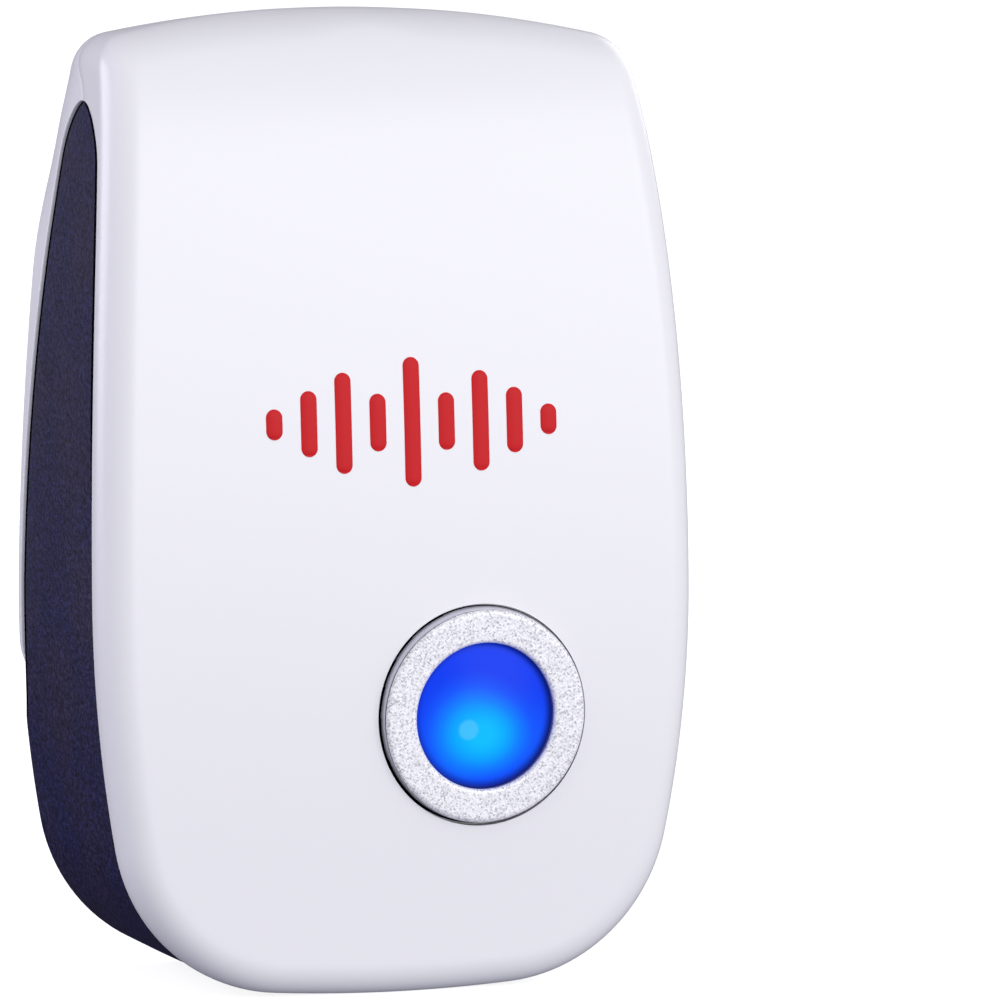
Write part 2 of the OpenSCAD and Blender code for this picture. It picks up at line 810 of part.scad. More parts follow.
sounder_lead_z = -31;
sounder_lead_r = 0.5;
module sounder_leads() {
    color([0.8, 0.1, 0.1])
        for (x = [-2, 2])
            bent_lead(x, sounder_top_z, sounder_lead_z, -sounder_d, -board_front, sounder_lead_r);
}

front_hood();
side_band();
rear_cover();
rear_screws();
bezel_ring();
light_lens();
front_print();
rating_label();
blade(-1);  // plug_blade_left
blade(1);  // plug_blade_right
blade_carrier();
mains_leads();
main_board();
board_screws();
fusible_resistor();
film_capacitor();
bridge_diodes();
smoothing_capacitor();
controller_chip();
coil_core();
coil_winding();
drive_transistors();
chip_resistors();
blue_led();
led_legs();
light_cup();
sounder_cup();
sounder_plate();
sounder_ceramic();
sounder_gasket();
sounder_leads();
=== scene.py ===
import math

import bmesh
import bpy
import numpy as np
from mathutils import Matrix, Vector


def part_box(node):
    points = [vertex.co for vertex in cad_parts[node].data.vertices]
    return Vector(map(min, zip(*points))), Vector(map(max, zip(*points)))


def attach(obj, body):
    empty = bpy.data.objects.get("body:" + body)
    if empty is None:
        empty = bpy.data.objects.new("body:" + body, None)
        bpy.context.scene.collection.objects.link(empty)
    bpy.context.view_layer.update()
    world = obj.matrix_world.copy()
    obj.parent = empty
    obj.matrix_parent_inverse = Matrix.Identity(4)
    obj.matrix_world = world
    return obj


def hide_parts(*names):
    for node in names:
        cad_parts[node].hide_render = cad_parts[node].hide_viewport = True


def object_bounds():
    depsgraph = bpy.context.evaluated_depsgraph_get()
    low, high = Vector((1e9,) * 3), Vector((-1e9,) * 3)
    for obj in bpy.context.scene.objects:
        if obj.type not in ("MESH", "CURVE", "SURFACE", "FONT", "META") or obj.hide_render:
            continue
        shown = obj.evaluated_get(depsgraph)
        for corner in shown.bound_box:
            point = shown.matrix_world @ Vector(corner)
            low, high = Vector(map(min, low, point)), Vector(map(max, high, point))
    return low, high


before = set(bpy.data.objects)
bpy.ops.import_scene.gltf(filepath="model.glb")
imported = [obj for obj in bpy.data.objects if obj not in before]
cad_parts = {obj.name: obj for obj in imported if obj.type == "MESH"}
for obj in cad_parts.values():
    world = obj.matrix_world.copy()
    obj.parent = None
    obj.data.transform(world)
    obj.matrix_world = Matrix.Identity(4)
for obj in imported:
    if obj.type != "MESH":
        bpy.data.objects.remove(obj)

bl_info = {
    "name": "Plug-in pest repeller",
    "version": (1, 0, 0),
    "blender": (4, 5, 0),
    "location": "3D View > Sidebar > Repeller",
    "description": "Builds the covers, lamp, plug and finishes of a plug-in ultrasonic pest repeller",
    "category": "Object",
}

CAD_BOX = [list(corner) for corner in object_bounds()]
BODY = "root"
MM = 0.001

HOOD_LOW, HOOD_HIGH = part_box("front_hood")
RING_LOW, RING_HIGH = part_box("bezel_ring")
LENS_LOW, LENS_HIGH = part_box("light_lens")
PRINT_LOW, PRINT_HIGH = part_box("front_print")
LABEL_LOW, LABEL_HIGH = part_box("rating_label")
BLADE_LOW, BLADE_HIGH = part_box("plug_blade_right")
CUP_LOW, CUP_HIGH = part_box("sounder_cup")


def linear(hex_colour):
    """An sRGB colour such as #D0141C as linear red, green, blue and alpha."""
    parts = [int(hex_colour[i : i + 2], 16) / 255 for i in (1, 3, 5)]
    return tuple(c / 12.92 if c <= 0.04045 else ((c + 0.055) / 1.055) ** 2.4 for c in parts) + (1.0,)


# ---------------------------------------------------------------- sizes and colours


def length(name, description, default):
    return bpy.props.FloatProperty(
        name=name, description=description, default=default, min=0, unit="LENGTH", precision=5
    )


def turn(name, description, degrees):
    return bpy.props.FloatProperty(
        name=name, description=description, default=math.radians(degrees), subtype="ANGLE"
    )


def colour(name, description, hex_colour):
    return bpy.props.FloatVectorProperty(
        name=name, description=description, default=linear(hex_colour), size=4, min=0, max=1, subtype="COLOR"
    )


class CasingSizes(bpy.types.PropertyGroup):
    height: length("Height", "Height before the top is drawn in", HOOD_HIGH.z - HOOD_LOW.z + 0.12 * MM)
    blades_up: length("Blades", "Height of the plug blades above the bottom of the casing", -HOOD_LOW.z)
    width: length("Width", "Width of the casing at its widest", HOOD_HIGH.x - HOOD_LOW.x)
    depth: length("Depth", "Depth of the casing from the wall to the front", -HOOD_LOW.y)
    wall: length("Wall", "Thickness of the casing walls", 2 * MM)
    edge_radius: length("Edge radius", "Radius of the rounded edge round the front", 3.2 * MM)
    below_widest: length("Widest point", "How far below the middle the casing is widest", 8 * MM)
    top_radius: length("Top radius", "Radius of the arched top", 125 * MM)
    top_corner: length("Top corner", "Radius of the two top corners", 4 * MM)
    upper_side: length("Upper side", "Radius of the sides above the widest point", 400 * MM)
    lower_side: length("Lower side", "Radius of the sides below the widest point", 130 * MM)
    bottom_corner: length("Bottom corner", "Radius of the two bottom corners", 18 * MM)
    bottom_radius: length("Bottom radius", "Radius of the shallow bottom", 170 * MM)
    crown: length("Crown depth", "Depth to which the front rolls back at the top", 6.5 * MM)
    shoulder: length("Shoulder", "How far the top is drawn in towards the wall", 3.6 * MM)
    tip_drop: length("Tip drop", "Distance of the side panels' tips below the top", 9.1 * MM)
    tip_depth: length("Tip depth", "Distance of the side panels' tips from the wall", 9.9 * MM)
    top_seam: length("Top seam", "Distance of the hood's rim from the wall at the top", 6.2 * MM)
    rear_strip: length("Rear strip", "Width of the white edge behind the panels near their tips", 5.8 * MM)
    foot_strip: length("Foot strip", "Width of the white edge behind the panels low down", 1.1 * MM)
    front_strip: length("Front strip", "Width of the white edge in front of the side panels", 3.9 * MM)
    seam: length("Seam", "Clearance between the band and the covers", 0.18 * MM)
    edge_break: length("Edge break", "Radius of the broken edges at the seams", 0.15 * MM)
    band_front_recess: length("Front recess", "How far the band's front edge is set back", 0.12 * MM)
    band_rear_recess: length("Rear recess", "How far the band's rear edge is set back", 0.22 * MM)
    # The seam line is the width of the painted shade along each edge of the band.
    seam_line: length("Seam line", "Width of the dark line along each edge of the band", 0.7 * MM)
    band_fall: length("Band fall", "How far the band's front edge falls back low down", 0.4 * MM)
    plate: length("Back plate", "Thickness of the plate of the rear cover", 2.2 * MM)


class LampSizes(bpy.types.PropertyGroup):
    ring_radius: length("Ring radius", "Outer radius of the ring", (RING_HIGH.x - RING_LOW.x) / 2)
    ring_top: length("Ring front", "Distance of the ring's front from the wall", -RING_LOW.y)
    ring_back: length("Ring back", "Distance of the ring's spigot end from the wall", -RING_HIGH.y)
    ring_round: length("Ring edge", "Radius of the ring's front edges", 0.4 * MM)
    seat_gap: length("Seat gap", "Gap between the ring and its seat in the hood", 0.3 * MM)
    seat_depth: length("Seat depth", "How deep the ring's seat is", 1.0 * MM)
    spigot: length("Spigot radius", "Radius of the spigot behind the ring", 8.4 * MM)
    lens_radius: length("Lens radius", "Radius of the lens", (LENS_HIGH.x - LENS_LOW.x) / 2)
    lens_top: length("Lens front", "Distance of the top of the lens from the wall", -LENS_LOW.y)
    lens_back: length("Lens back", "Distance of the lens skirt's end from the wall", -LENS_HIGH.y)
    dome: length("Dome height", "Height of the lens dome above its rim", 1.3 * MM)
    lens_wall: length("Lens wall", "Thickness of the lens", 1.2 * MM)


class PrintSizes(bpy.types.PropertyGroup):
    bar_width: length("Bar width", "Width of one bar of the sound-level symbol", 1.7 * MM)
    bar_pitch: length("Bar pitch", "Distance from one bar to the next", 3.6 * MM)
    ink: length("Ink", "Thickness of the printed ink", 0.05 * MM)


class PlugSizes(bpy.types.PropertyGroup):
    width: length("Blade width", "Width of a blade", BLADE_HIGH.z - BLADE_LOW.z)
    reach: length("Blade length", "Length of a blade out of the back", BLADE_HIGH.y)
    root: length("Blade root", "Length of a blade inside the casing", -BLADE_LOW.y)
    tip: length("Tip", "How far the corners of the tip are cut back", 1.6 * MM)
    hole_radius: length("Hole radius", "Radius of the detent hole", 1.6 * MM)
    hole_place: length("Hole place", "Distance of the detent hole from the back", 11.7 * MM)


class SoundSizes(bpy.types.PropertyGroup):
    cup_radius: length("Cup radius", "Outer radius of the sounder's cup", (CUP_HIGH.x - CUP_LOW.x) / 2)
    play: length("Play", "Clearance between the cup and its collar", 0.1 * MM)
    collar_wall: length("Collar wall", "Thickness of the collar round the cup", 1.05 * MM)
    collar_from: length("Collar foot", "Height of the collar's foot above the underside", 1.6 * MM)
    collar_to: length("Collar top", "Height of the collar's top above the underside", 6 * MM)
    slot_reach: length("Slot reach", "Distance of the slots' ends from the middle of the sounder", 7.4 * MM)
    slot_radius: length("Slot radius", "Half the width of a sound slot", 0.6 * MM)
    slot_pitch: length("Slot pitch", "Distance from one sound slot to the next", 2.4 * MM)


class ScrewSizes(bpy.types.PropertyGroup):
    head_radius: length("Head radius", "Radius of a casing screw's head", 2.4 * MM)
    head_height: length("Head height", "Height of a casing screw's head", 1.1 * MM)
    head_round: length("Head edge", "Radius of the rounded edge of the head", 0.7 * MM)
    shank: length("Shank", "Radius over the thread", 1.05 * MM)
    core: length("Core", "Radius at the foot of the thread", 0.8 * MM)
    pitch: length("Pitch", "Pitch of the thread", 0.8 * MM)
    cross_reach: length("Cross reach", "Half the length of the cross recess", 1.3 * MM)
    cross_half: length("Cross width", "Half the width of the cross recess", 0.33 * MM)
    cross_depth: length("Cross depth", "Depth of the cross recess", 0.7 * MM)
    post_radius: length("Post radius", "Radius of the hood's screw posts", 3 * MM)
    post_hole: length("Post hole", "Radius of the hole in a screw post", 1.1 * MM)
    standoff_radius: length("Standoff radius", "Radius of the standoffs under the board", 2.4 * MM)
    standoff_hole: length("Standoff hole", "Radius of the hole in a standoff", 0.85 * MM)
    recess_radius: length("Recess radius", "Radius of the recess for a screw's head", 2.6 * MM)
    recess_mouth: length("Recess mouth", "Radius at the mouth of the recess", 2.85 * MM)
    through: length("Through hole", "Radius of the hole for a screw's shank", 1.3 * MM)


class Colours(bpy.types.PropertyGroup):
    hood: colour("Hood", "Gloss white hood", "#EDEDEF")
    cover: colour("Rear cover", "White rear cover", "#EFEFF2")
    band: colour("Band", "Dark blue grained band", "#24233F")
    ring: colour("Ring", "Silver grit of the ring", "#F8F8FC")
    ink: colour("Ink", "Red printing ink", "#D0141C")
    label: colour("Label", "Blank rating label", "#C9CBCE")


class StudioSizes(bpy.types.PropertyGroup):
    azimuth: turn("Camera azimuth", "Camera to the left of the front", 20.85)
    elevation: turn("Camera elevation", "Camera above the middle", 6.21)
    distance: length("Camera distance", "Distance of the camera from the origin", 812 * MM)
    pan: turn("Pan", "Turn of the camera to the right", 1.336)
    tilt: turn("Tilt", "Turn of the camera upwards", -0.112)
    roll: turn("Roll", "Turn of the camera about its own line of sight", 1.05)
    lens: bpy.props.FloatProperty(name="Lens", description="Focal length in millimetres", default=290.2)
    floor_radius: length("Floor radius", "Radius of the floor", 6.0)


class RepellerSettings(bpy.types.PropertyGroup):
    casing: bpy.props.PointerProperty(type=CasingSizes, name="Casing", description="Sizes of the covers")
    lamp: bpy.props.PointerProperty(type=LampSizes, name="Lamp", description="Sizes of the ring and lens")
    print: bpy.props.PointerProperty(type=PrintSizes, name="Print", description="Sizes of the symbol")
    sound: bpy.props.PointerProperty(type=SoundSizes, name="Sound", description="Sizes of the sound outlet")
    screws: bpy.props.PointerProperty(type=ScrewSizes, name="Screws", description="Sizes of the screws")
    plug: bpy.props.PointerProperty(type=PlugSizes, name="Plug", description="Sizes of the blades")
    colours: bpy.props.PointerProperty(type=Colours, name="Colours", description="Colours of the finishes")
    studio: bpy.props.PointerProperty(type=StudioSizes, name="Studio", description="Camera and floor")


# ---------------------------------------------------------------- casing outline and depths


def circles_meet(a, ra, b, rb):
    """The crossing with the larger x of a circle of radius ra round a and one of radius rb round b."""
    a, b = np.array(a), np.array(b)
    gap = np.linalg.norm(b - a)
    along = (gap * gap + ra * ra - rb * rb) / (2 * gap)
    aside = math.sqrt(ra * ra - along * along)
    u = (b - a) / gap
    p = a + along * u
    return np.array([p[0] + aside * abs(u[1]), p[1] - aside * u[0] * math.copysign(1, u[1])])


def heading(start, end):
    return math.atan2(end[1] - start[1], end[0] - start[0])


def smooth_step(k):
    k = np.clip(k, 0, 1)
    return k * k * (3 - 2 * k)


def quarter(k):
    """Rises from 0 to 1 as a quarter of a circle does."""
    c = 1 - np.clip(k, 0, 1)
    return np.sqrt(1 - c * c)


class Casing:
    """Outline, front and side panels of the casing; x, z and depth are in metres, depth from the wall."""

    full_z = -36 * MM  # below this the front has its full depth
    crown_power = 0.37  # how sharply the front rolls back at the top
    tip_blend = 6 * MM  # how far below its tip a side panel starts to narrow
    seam_run = 5 * MM  # how far above the tips the covers' seam has run back
    blend_z = 16 * MM  # from here to the tip, stations crowd
    strip_foot_z = -12 * MM  # below this the white edge behind the panels thins out
    strip_end_z = -23 * MM  # and here it ends
    front_mid_z = -5 * MM  # the rings of the front shrink towards this height
    least_edge = 0.25 * MM  # radius of the front edge where it fades out
    shoulder_from, shoulder_run = 22 * MM, 24 * MM  # heights over which the shoulders draw in
    shoulder_mid_z = 30 * MM  # they draw in towards this height
    corner_from, corner_run = 36 * MM, 8 * MM  # heights over which they reach further forward
    corner_reach = 2.5 * MM

    def __init__(self, sizes):
        self.sizes = sizes
        self.bottom_z = -sizes.blades_up
        self.top_z = sizes.height - sizes.blades_up
        self.widest_z = -sizes.below_widest
        self.tip_z = self.top_z - sizes.tip_drop
        self.stations = self.make_stations()

    def make_stations(self):
        """Arc centre x and z, radius and angle of each place on the outline, from the bottom middle
        up the right side, over the top and down the left side."""
        s = self.sizes
        top = (0, self.top_z - s.top_radius)
        bottom = (0, s.bottom_radius + self.bottom_z)
        upper = (s.width / 2 - s.upper_side, self.widest_z)
        lower = (s.width / 2 - s.lower_side, self.widest_z)
        top_corner = circles_meet(upper, s.upper_side - s.top_corner, top, s.top_radius - s.top_corner)
        low_corner = circles_meet(
            lower, s.lower_side - s.bottom_corner, bottom, s.bottom_radius - s.bottom_corner
        )
        low_start, low_end = heading(bottom, low_corner), heading(lower, low_corner)
        high_start, high_end = heading(upper, top_corner), heading(top, top_corner)

        def angle_at(z):
            return math.asin((z - self.widest_z) / s.upper_side)

        def arc(mid, r, start, end, steps):
            return [(mid[0], mid[1], r, a) for a in np.linspace(start, end, steps, endpoint=False)]

        # Stations crowd towards the tip, where the edges of the side panels turn fast.
        near_tip = [self.tip_z - (self.tip_z - self.blend_z) * (1 - k) ** 2.4 for k in np.linspace(0, 1, 44)]
        right = (
            arc(bottom, s.bottom_radius, -math.pi / 2, low_start, 18)
            + arc(low_corner, s.bottom_corner, low_start, low_end, 26)
            + arc(lower, s.lower_side, low_end, 0, 34)
            + arc(upper, s.upper_side, 0, angle_at(self.blend_z), 16)
            + [(upper[0], upper[1], s.upper_side, angle_at(z)) for z in near_tip]
            + arc(upper, s.upper_side, angle_at(self.tip_z), high_start, 6)[1:]
            + arc(top_corner, s.top_corner, high_start, high_end, 14)
            + arc(top, s.top_radius, high_end, math.pi / 2, 20)
        )
        left = [(-cx, cz, r, math.pi - a) for cx, cz, r, a in right[:0:-1]]
        return np.array(right + [(top[0], top[1], s.top_radius, math.pi / 2)] + left)

    def at(self, inset):
        """x and z of every station, moved inwards by inset."""
        cx, cz, r, a = self.stations.T
        return cx + (r - inset) * np.cos(a), cz + (r - inset) * np.sin(a)

    def front_depth(self, z):
        rise = np.clip((z - self.full_z) / (self.top_z + 0.05 * MM - self.full_z), 0, 1)
        return self.sizes.crown + (self.sizes.depth - self.sizes.crown) * (1 - rise**2) ** self.crown_power

    def inner_front_depth(self, z):
        return self.front_depth(z + self.sizes.wall / 2) - 0.85 * self.sizes.wall

    def drawn(self, x, z, depth):
        """Points at x, z and depth, drawn in at the shoulders near the wall."""
        reach = self.sizes.crown + self.corner_reach * smooth_step((z - self.corner_from) / self.corner_run)
        k = np.clip(1 - depth / reach, 0, 1)
        pull = self.sizes.shoulder * smooth_step((z - self.shoulder_from) / self.shoulder_run)
        pull = pull * (1 - np.sqrt(1 - k * k))
        to_z = np.minimum(z - 1 * MM, self.shoulder_mid_z)
        far = np.hypot(x, z - to_z)
        return np.stack([x - pull * x / far, -depth, z - pull * (z - to_z) / far], axis=1)

    def ring(self, inset, depth):
        """A ring of points over the whole outline, moved inwards by inset."""
        x, z = self.at(inset)
        return self.drawn(x, z, depth + 0 * x)

    def panel_front(self, z):
        s = self.sizes
        full = self.front_depth(z) - s.front_strip - s.tip_depth
        return s.tip_depth + full * quarter((self.tip_z - z) / self.tip_blend)

    def panel_rear(self, z):
        s = self.sizes
        up = np.clip((z - self.strip_foot_z) / (self.tip_z - self.strip_foot_z), 0, 1)
        down = np.clip((self.strip_foot_z - z) / (self.strip_foot_z - self.strip_end_z), 0, 1)
        width = s.foot_strip * (1 - down**2) + (s.rear_strip - s.foot_strip) * up**2
        return width + (s.tip_depth - width) * (1 - quarter((self.tip_z - z) / self.tip_blend))

    def top_seam(self, z):
        """Depth of the seam between the covers, which runs back towards the wall above the tips."""
        s = self.sizes
        return s.tip_depth + (s.top_seam - s.tip_depth) * smooth_step((z - self.tip_z) / self.seam_run)

    def edge_radius(self):
        """Radius of the front edge at each station: it fades out where the crown rolls over the top."""
        s = self.sizes
        _, z = self.at(0)
        return np.clip(self.front_depth(z) - s.crown + self.least_edge, self.least_edge, s.edge_radius)

    def front_ring(self, inset, scale, inside=False):
        """A ring shrunk towards the middle of the front and laid on it, or on its inner face."""
        x, z = self.at(inset)
        x, z = x * scale, self.front_mid_z + (z - self.front_mid_z) * scale
        return self.drawn(x, z, self.inner_front_depth(z) if inside else self.front_depth(z))


# ---------------------------------------------------------------- mesh work


def loft(rings, ends):
    """A skin over rings of the same number of points. The ends are a fan, a cap, or joined in a loop."""
    bm = bmesh.new()
    rows = [[bm.verts.new(p) for p in ring] for ring in rings]
    pairs = list(zip(rows, rows[1:]))
    if ends == "loop":
        pairs.append((rows[-1], rows[0]))
    for a, b in pairs:
        for i in range(len(a)):
            j = (i + 1) % len(a)
            bm.faces.new((a[i], a[j], b[j], b[i]))
    if ends == "cap":
        bm.faces.new(rows[0])
        bm.faces.new(rows[-1])
    if ends == "fan":
        for row in (rows[0], rows[-1]):
            middle = bm.verts.new(sum((v.co for v in row), Vector()) / len(row))
            for i in range(len(row)):
                bm.faces.new((row[i], row[(i + 1) % len(row)], middle))
    bmesh.ops.recalc_face_normals(bm, faces=bm.faces)
    return bm


def round_corner(centre, radius, start, end, steps):
    """Points of an arc as (x, y) pairs, angles in degrees."""
    angles = np.radians(np.linspace(start, end, steps + 1))
    return [(centre[0] + radius * math.cos(a), centre[1] + radius * math.sin(a)) for a in angles]


def circle(u, v, radius, steps):
    """Points round a circle as (u, v) pairs."""
    angles = np.linspace(0, 2 * math.pi, steps, endpoint=False)
    return [(u + radius * math.cos(a), v + radius * math.sin(a)) for a in angles]


def turned(profile, x, z, ends="loop", steps=128):
    """A profile of (radius, depth) points turned round a line along Y through x and z."""
    return loft([[(p, -d, q) for p, q in circle(x, z, r, steps)] for r, d in profile], ends)


def block(low, high):
    bm = bmesh.new()
    made = bmesh.ops.create_cube(bm, size=1)
    for v in made["verts"]:
        v.co = Vector(low[i] + (high[i] - low[i]) * (v.co[i] + 0.5) for i in range(3))
    return bm


def joined(parts):
    """One bmesh out of several that don't touch each other."""
    whole = bmesh.new()
    for part in parts:
        mesh = bpy.data.meshes.new("part")
        part.to_mesh(mesh)
        part.free()
        whole.from_mesh(mesh)
        bpy.data.meshes.remove(mesh)
    return whole


def new_object(context, name, bm):
    mesh = bpy.data.meshes.new(name)
    bm.to_mesh(mesh)
    bm.free()
    made = bpy.data.objects.new(name, mesh)
    context.collection.objects.link(made)
    return made


def carve(context, piece, cutter, operation="DIFFERENCE"):
    """Takes the cutter's volume out of the piece, or adds it, and removes the cutter."""
    tool = new_object(context, "cutter", cutter)
    cut = piece.modifiers.new("cut", "BOOLEAN")
    cut.object, cut.operation, cut.solver = tool, operation, "EXACT"
    result = bpy.data.meshes.new_from_object(piece.evaluated_get(context.evaluated_depsgraph_get()))
    piece.modifiers.clear()
    old, piece.data = piece.data, result
    bpy.data.meshes.remove(old)
    bpy.data.objects.remove(tool)
    if not len(result.polygons):
        raise RuntimeError(f"nothing is left of {piece.name} after the cut")


def finish_piece(piece, stands_for, materials, crease=40):
    """Gives a piece its materials, smooths it but for its creases, and puts it in its nodes' place."""
    piece.data.materials.clear()
    for material in materials:
        piece.data.materials.append(material)
    piece.data.shade_smooth()
    piece.data.set_sharp_from_angle(angle=math.radians(crease))
    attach(piece, BODY)
    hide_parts(*stands_for)


# ---------------------------------------------------------------- materials


def put(tree, kind, sockets=None, **settings):
    """One shader node, with its settings, and its sockets set to values or linked to other sockets."""
    made = tree.nodes.new(kind)
    for name, value in settings.items():
        if name == "stops":
            ramp = made.color_ramp
            while len(ramp.elements) < len(value):
                ramp.elements.new(1)
            for element, (place, shade) in zip(ramp.elements, value):
                element.position, element.color = place, shade
        else:
            setattr(made, name, value)
    for name, value in (sockets or {}).items():
        if isinstance(value, bpy.types.NodeSocket):
            tree.links.new(value, made.inputs[name])
        else:
            made.inputs[name].default_value = value
    return made


def per_metre(size_mm):
    """Scale of a pattern whose grains are size_mm across."""
    return 1000 / size_mm


def blank(name):
    """A new material with its empty node tree, and the object coordinates its patterns lie in."""
    made = bpy.data.materials.new(name)
    made.use_nodes = True
    made.node_tree.nodes.clear()
    return made, made.node_tree, put(made.node_tree, "ShaderNodeTexCoord").outputs["Object"]


def surfaced(made, sockets):
    """The material, ended with a Principled shader of the given sockets."""
    shader = put(made.node_tree, "ShaderNodeBsdfPrincipled", sockets)
    put(made.node_tree, "ShaderNodeOutputMaterial", {"Surface": shader.outputs["BSDF"]})
    return made


def mottled(name, light, dark, grain, rough, bump=0.0, height=0.02, soft=0.5, **surface):
    """A finish whose colour and gloss vary from grain to grain. Light and dark are linear colours,
    grain is in millimetres, rough is the range of roughness, height is the bump's height in mm."""
    made, tree, place = blank(name)
    grains = put(
        tree,
        "ShaderNodeTexNoise",
        {"Vector": place, "Scale": per_metre(grain), "Detail": 3.0, "Roughness": 0.6},
    ).outputs["Fac"]
    clouds = put(
        tree, "ShaderNodeTexNoise", {"Vector": place, "Scale": per_metre(grain * 40), "Detail": 2.0}
    ).outputs["Fac"]
    both = put(
        tree, "ShaderNodeMix", {"Factor": soft * 0.5, "A": grains, "B": clouds}, data_type="FLOAT"
    ).outputs["Result"]
    shade = put(
        tree,
        "ShaderNodeValToRGB",
        {"Fac": both},
        stops=[(0.5 - 0.25 * (1 - soft) - 0.08, dark), (0.5 + 0.25 * (1 - soft) + 0.08, light)],
    ).outputs["Color"]
    gloss = put(
        tree,
        "ShaderNodeMapRange",
        {"Value": both, "From Min": 0.3, "From Max": 0.7, "To Min": rough[0], "To Max": rough[1]},
    ).outputs["Result"]
    sockets = {"Base Color": shade, "Roughness": gloss, **surface}
    if bump:
        sockets["Normal"] = put(
            tree,
            "ShaderNodeBump",
            {"Strength": bump, "Distance": height * MM, "Height": grains},
        ).outputs["Normal"]
    return surfaced(made, sockets)


def scaled(shade, factor):
    return tuple(min(1.0, c * factor) for c in shade[:3]) + (1.0,)


def polished_abs(colours):
    """ABS moulded in a polished tool: a clean soft gloss, with the faint ripple of the moulding."""
    return mottled(
        "moulded_abs_gloss_white",
        light=colours.hood,
        dark=scaled(colours.hood, 0.994),
        grain=0.9,
        rough=(0.3, 0.34),
        bump=0.04,
        height=0.002,
        soft=0.3,
        IOR=1.53,
    )


def seam_shade():
    """Painted shade: the dark of a seam too narrow for light to get into, given as a near-black finish."""
    return mottled(
        "painted_seam_shade_black", linear("#0B0A10"), linear("#050508"), 0.4, (0.8, 0.9), 0.2,
        **{"Specular IOR Level": 0.0},
    )


def grained_abs(colours):
    """ABS moulded in a spark-eroded tool: a fine dull grain that breaks the light into specks."""
    made, tree, place = blank("moulded_abs_grained_blue")
    pits = put(
        tree,
        "ShaderNodeTexNoise",
        {"Vector": place, "Scale": per_metre(0.42), "Detail": 4.0, "Roughness": 0.65, "Distortion": 0.6},
    ).outputs["Fac"]
    cells = put(
        tree, "ShaderNodeTexVoronoi", {"Vector": place, "Scale": per_metre(0.6), "Randomness": 1.0}
    ).outputs["Distance"]
    clouds = put(
        tree, "ShaderNodeTexNoise", {"Vector": place, "Scale": per_metre(9), "Detail": 2.0}
    ).outputs["Fac"]
    grain = put(tree, "ShaderNodeMath", {0: pits, 1: cells}, operation="ADD").outputs["Value"]
    speck = put(
        tree,
        "ShaderNodeValToRGB",
        {"Fac": pits},
        stops=[
            (0.36, scaled(colours.band, 0.45)),
            (0.5, colours.band),
            (0.64, scaled(colours.band, 2.2)),
        ],
    ).outputs["Color"]
    tint = put(
        tree,
        "ShaderNodeValToRGB",
        {"Fac": clouds},
        stops=[(0.35, linear("#FFECF0")), (0.65, linear("#C8D4FF"))],
    ).outputs["Color"]
    shade = put(
        tree, "ShaderNodeMix", {"Factor": 1.0, "A": speck, "B": tint}, data_type="RGBA", blend_type="MULTIPLY"
    )
    dull = put(
        tree,
        "ShaderNodeMapRange",
        {"Value": pits, "From Min": 0.3, "From Max": 0.7, "To Min": 0.42, "To Max": 0.6},
    ).outputs["Result"]
    bump = put(
        tree, "ShaderNodeBump", {"Strength": 0.7, "Distance": 0.06 * MM, "Height": grain}
    ).outputs["Normal"]
    return surfaced(
        made,
        {
            "Base Color": shade.outputs["Result"],
            "Roughness": dull,
            "Normal": bump,
            "Specular IOR Level": 0.25,
        },
    )


def grit_paint(colours):
    """Silver paint full of coarse flakes: a pale ring whose grains differ in tone at random, the pure white
    ones painted glints that stand for its sparkle.
    """
    made, tree, place = blank("silver_grit_paint")
    flakes = put(
        tree, "ShaderNodeTexVoronoi", {"Vector": place, "Scale": per_metre(0.16), "Randomness": 1.0}
    ).outputs["Color"]
    flake = put(tree, "ShaderNodeSeparateColor", {"Color": flakes}).outputs["Red"]
    dust = put(
        tree,
        "ShaderNodeTexNoise",
        {"Vector": place, "Scale": per_metre(0.24), "Detail": 3.0, "Roughness": 0.7},
    ).outputs["Fac"]
    mix = put(
        tree, "ShaderNodeMix", {"Factor": 0.45, "A": dust, "B": flake}, data_type="FLOAT"
    ).outputs["Result"]
    # Flakes from dark to pure white; the pure white ones are painted glints.
    shade = put(
        tree,
        "ShaderNodeValToRGB",
        {"Fac": mix},
        stops=[
            (0.24, scaled(colours.ring, 0.45)),
            (0.4, scaled(colours.ring, 0.82)),
            (0.6, colours.ring),
            (0.7, linear("#FFFFFF")),
        ],
    ).outputs["Color"]
    bump = put(
        tree, "ShaderNodeBump", {"Strength": 0.5, "Distance": 0.05 * MM, "Height": mix}
    ).outputs["Normal"]
    return surfaced(made, {"Base Color": shade, "Metallic": 0.2, "Roughness": 0.42, "Normal": bump})


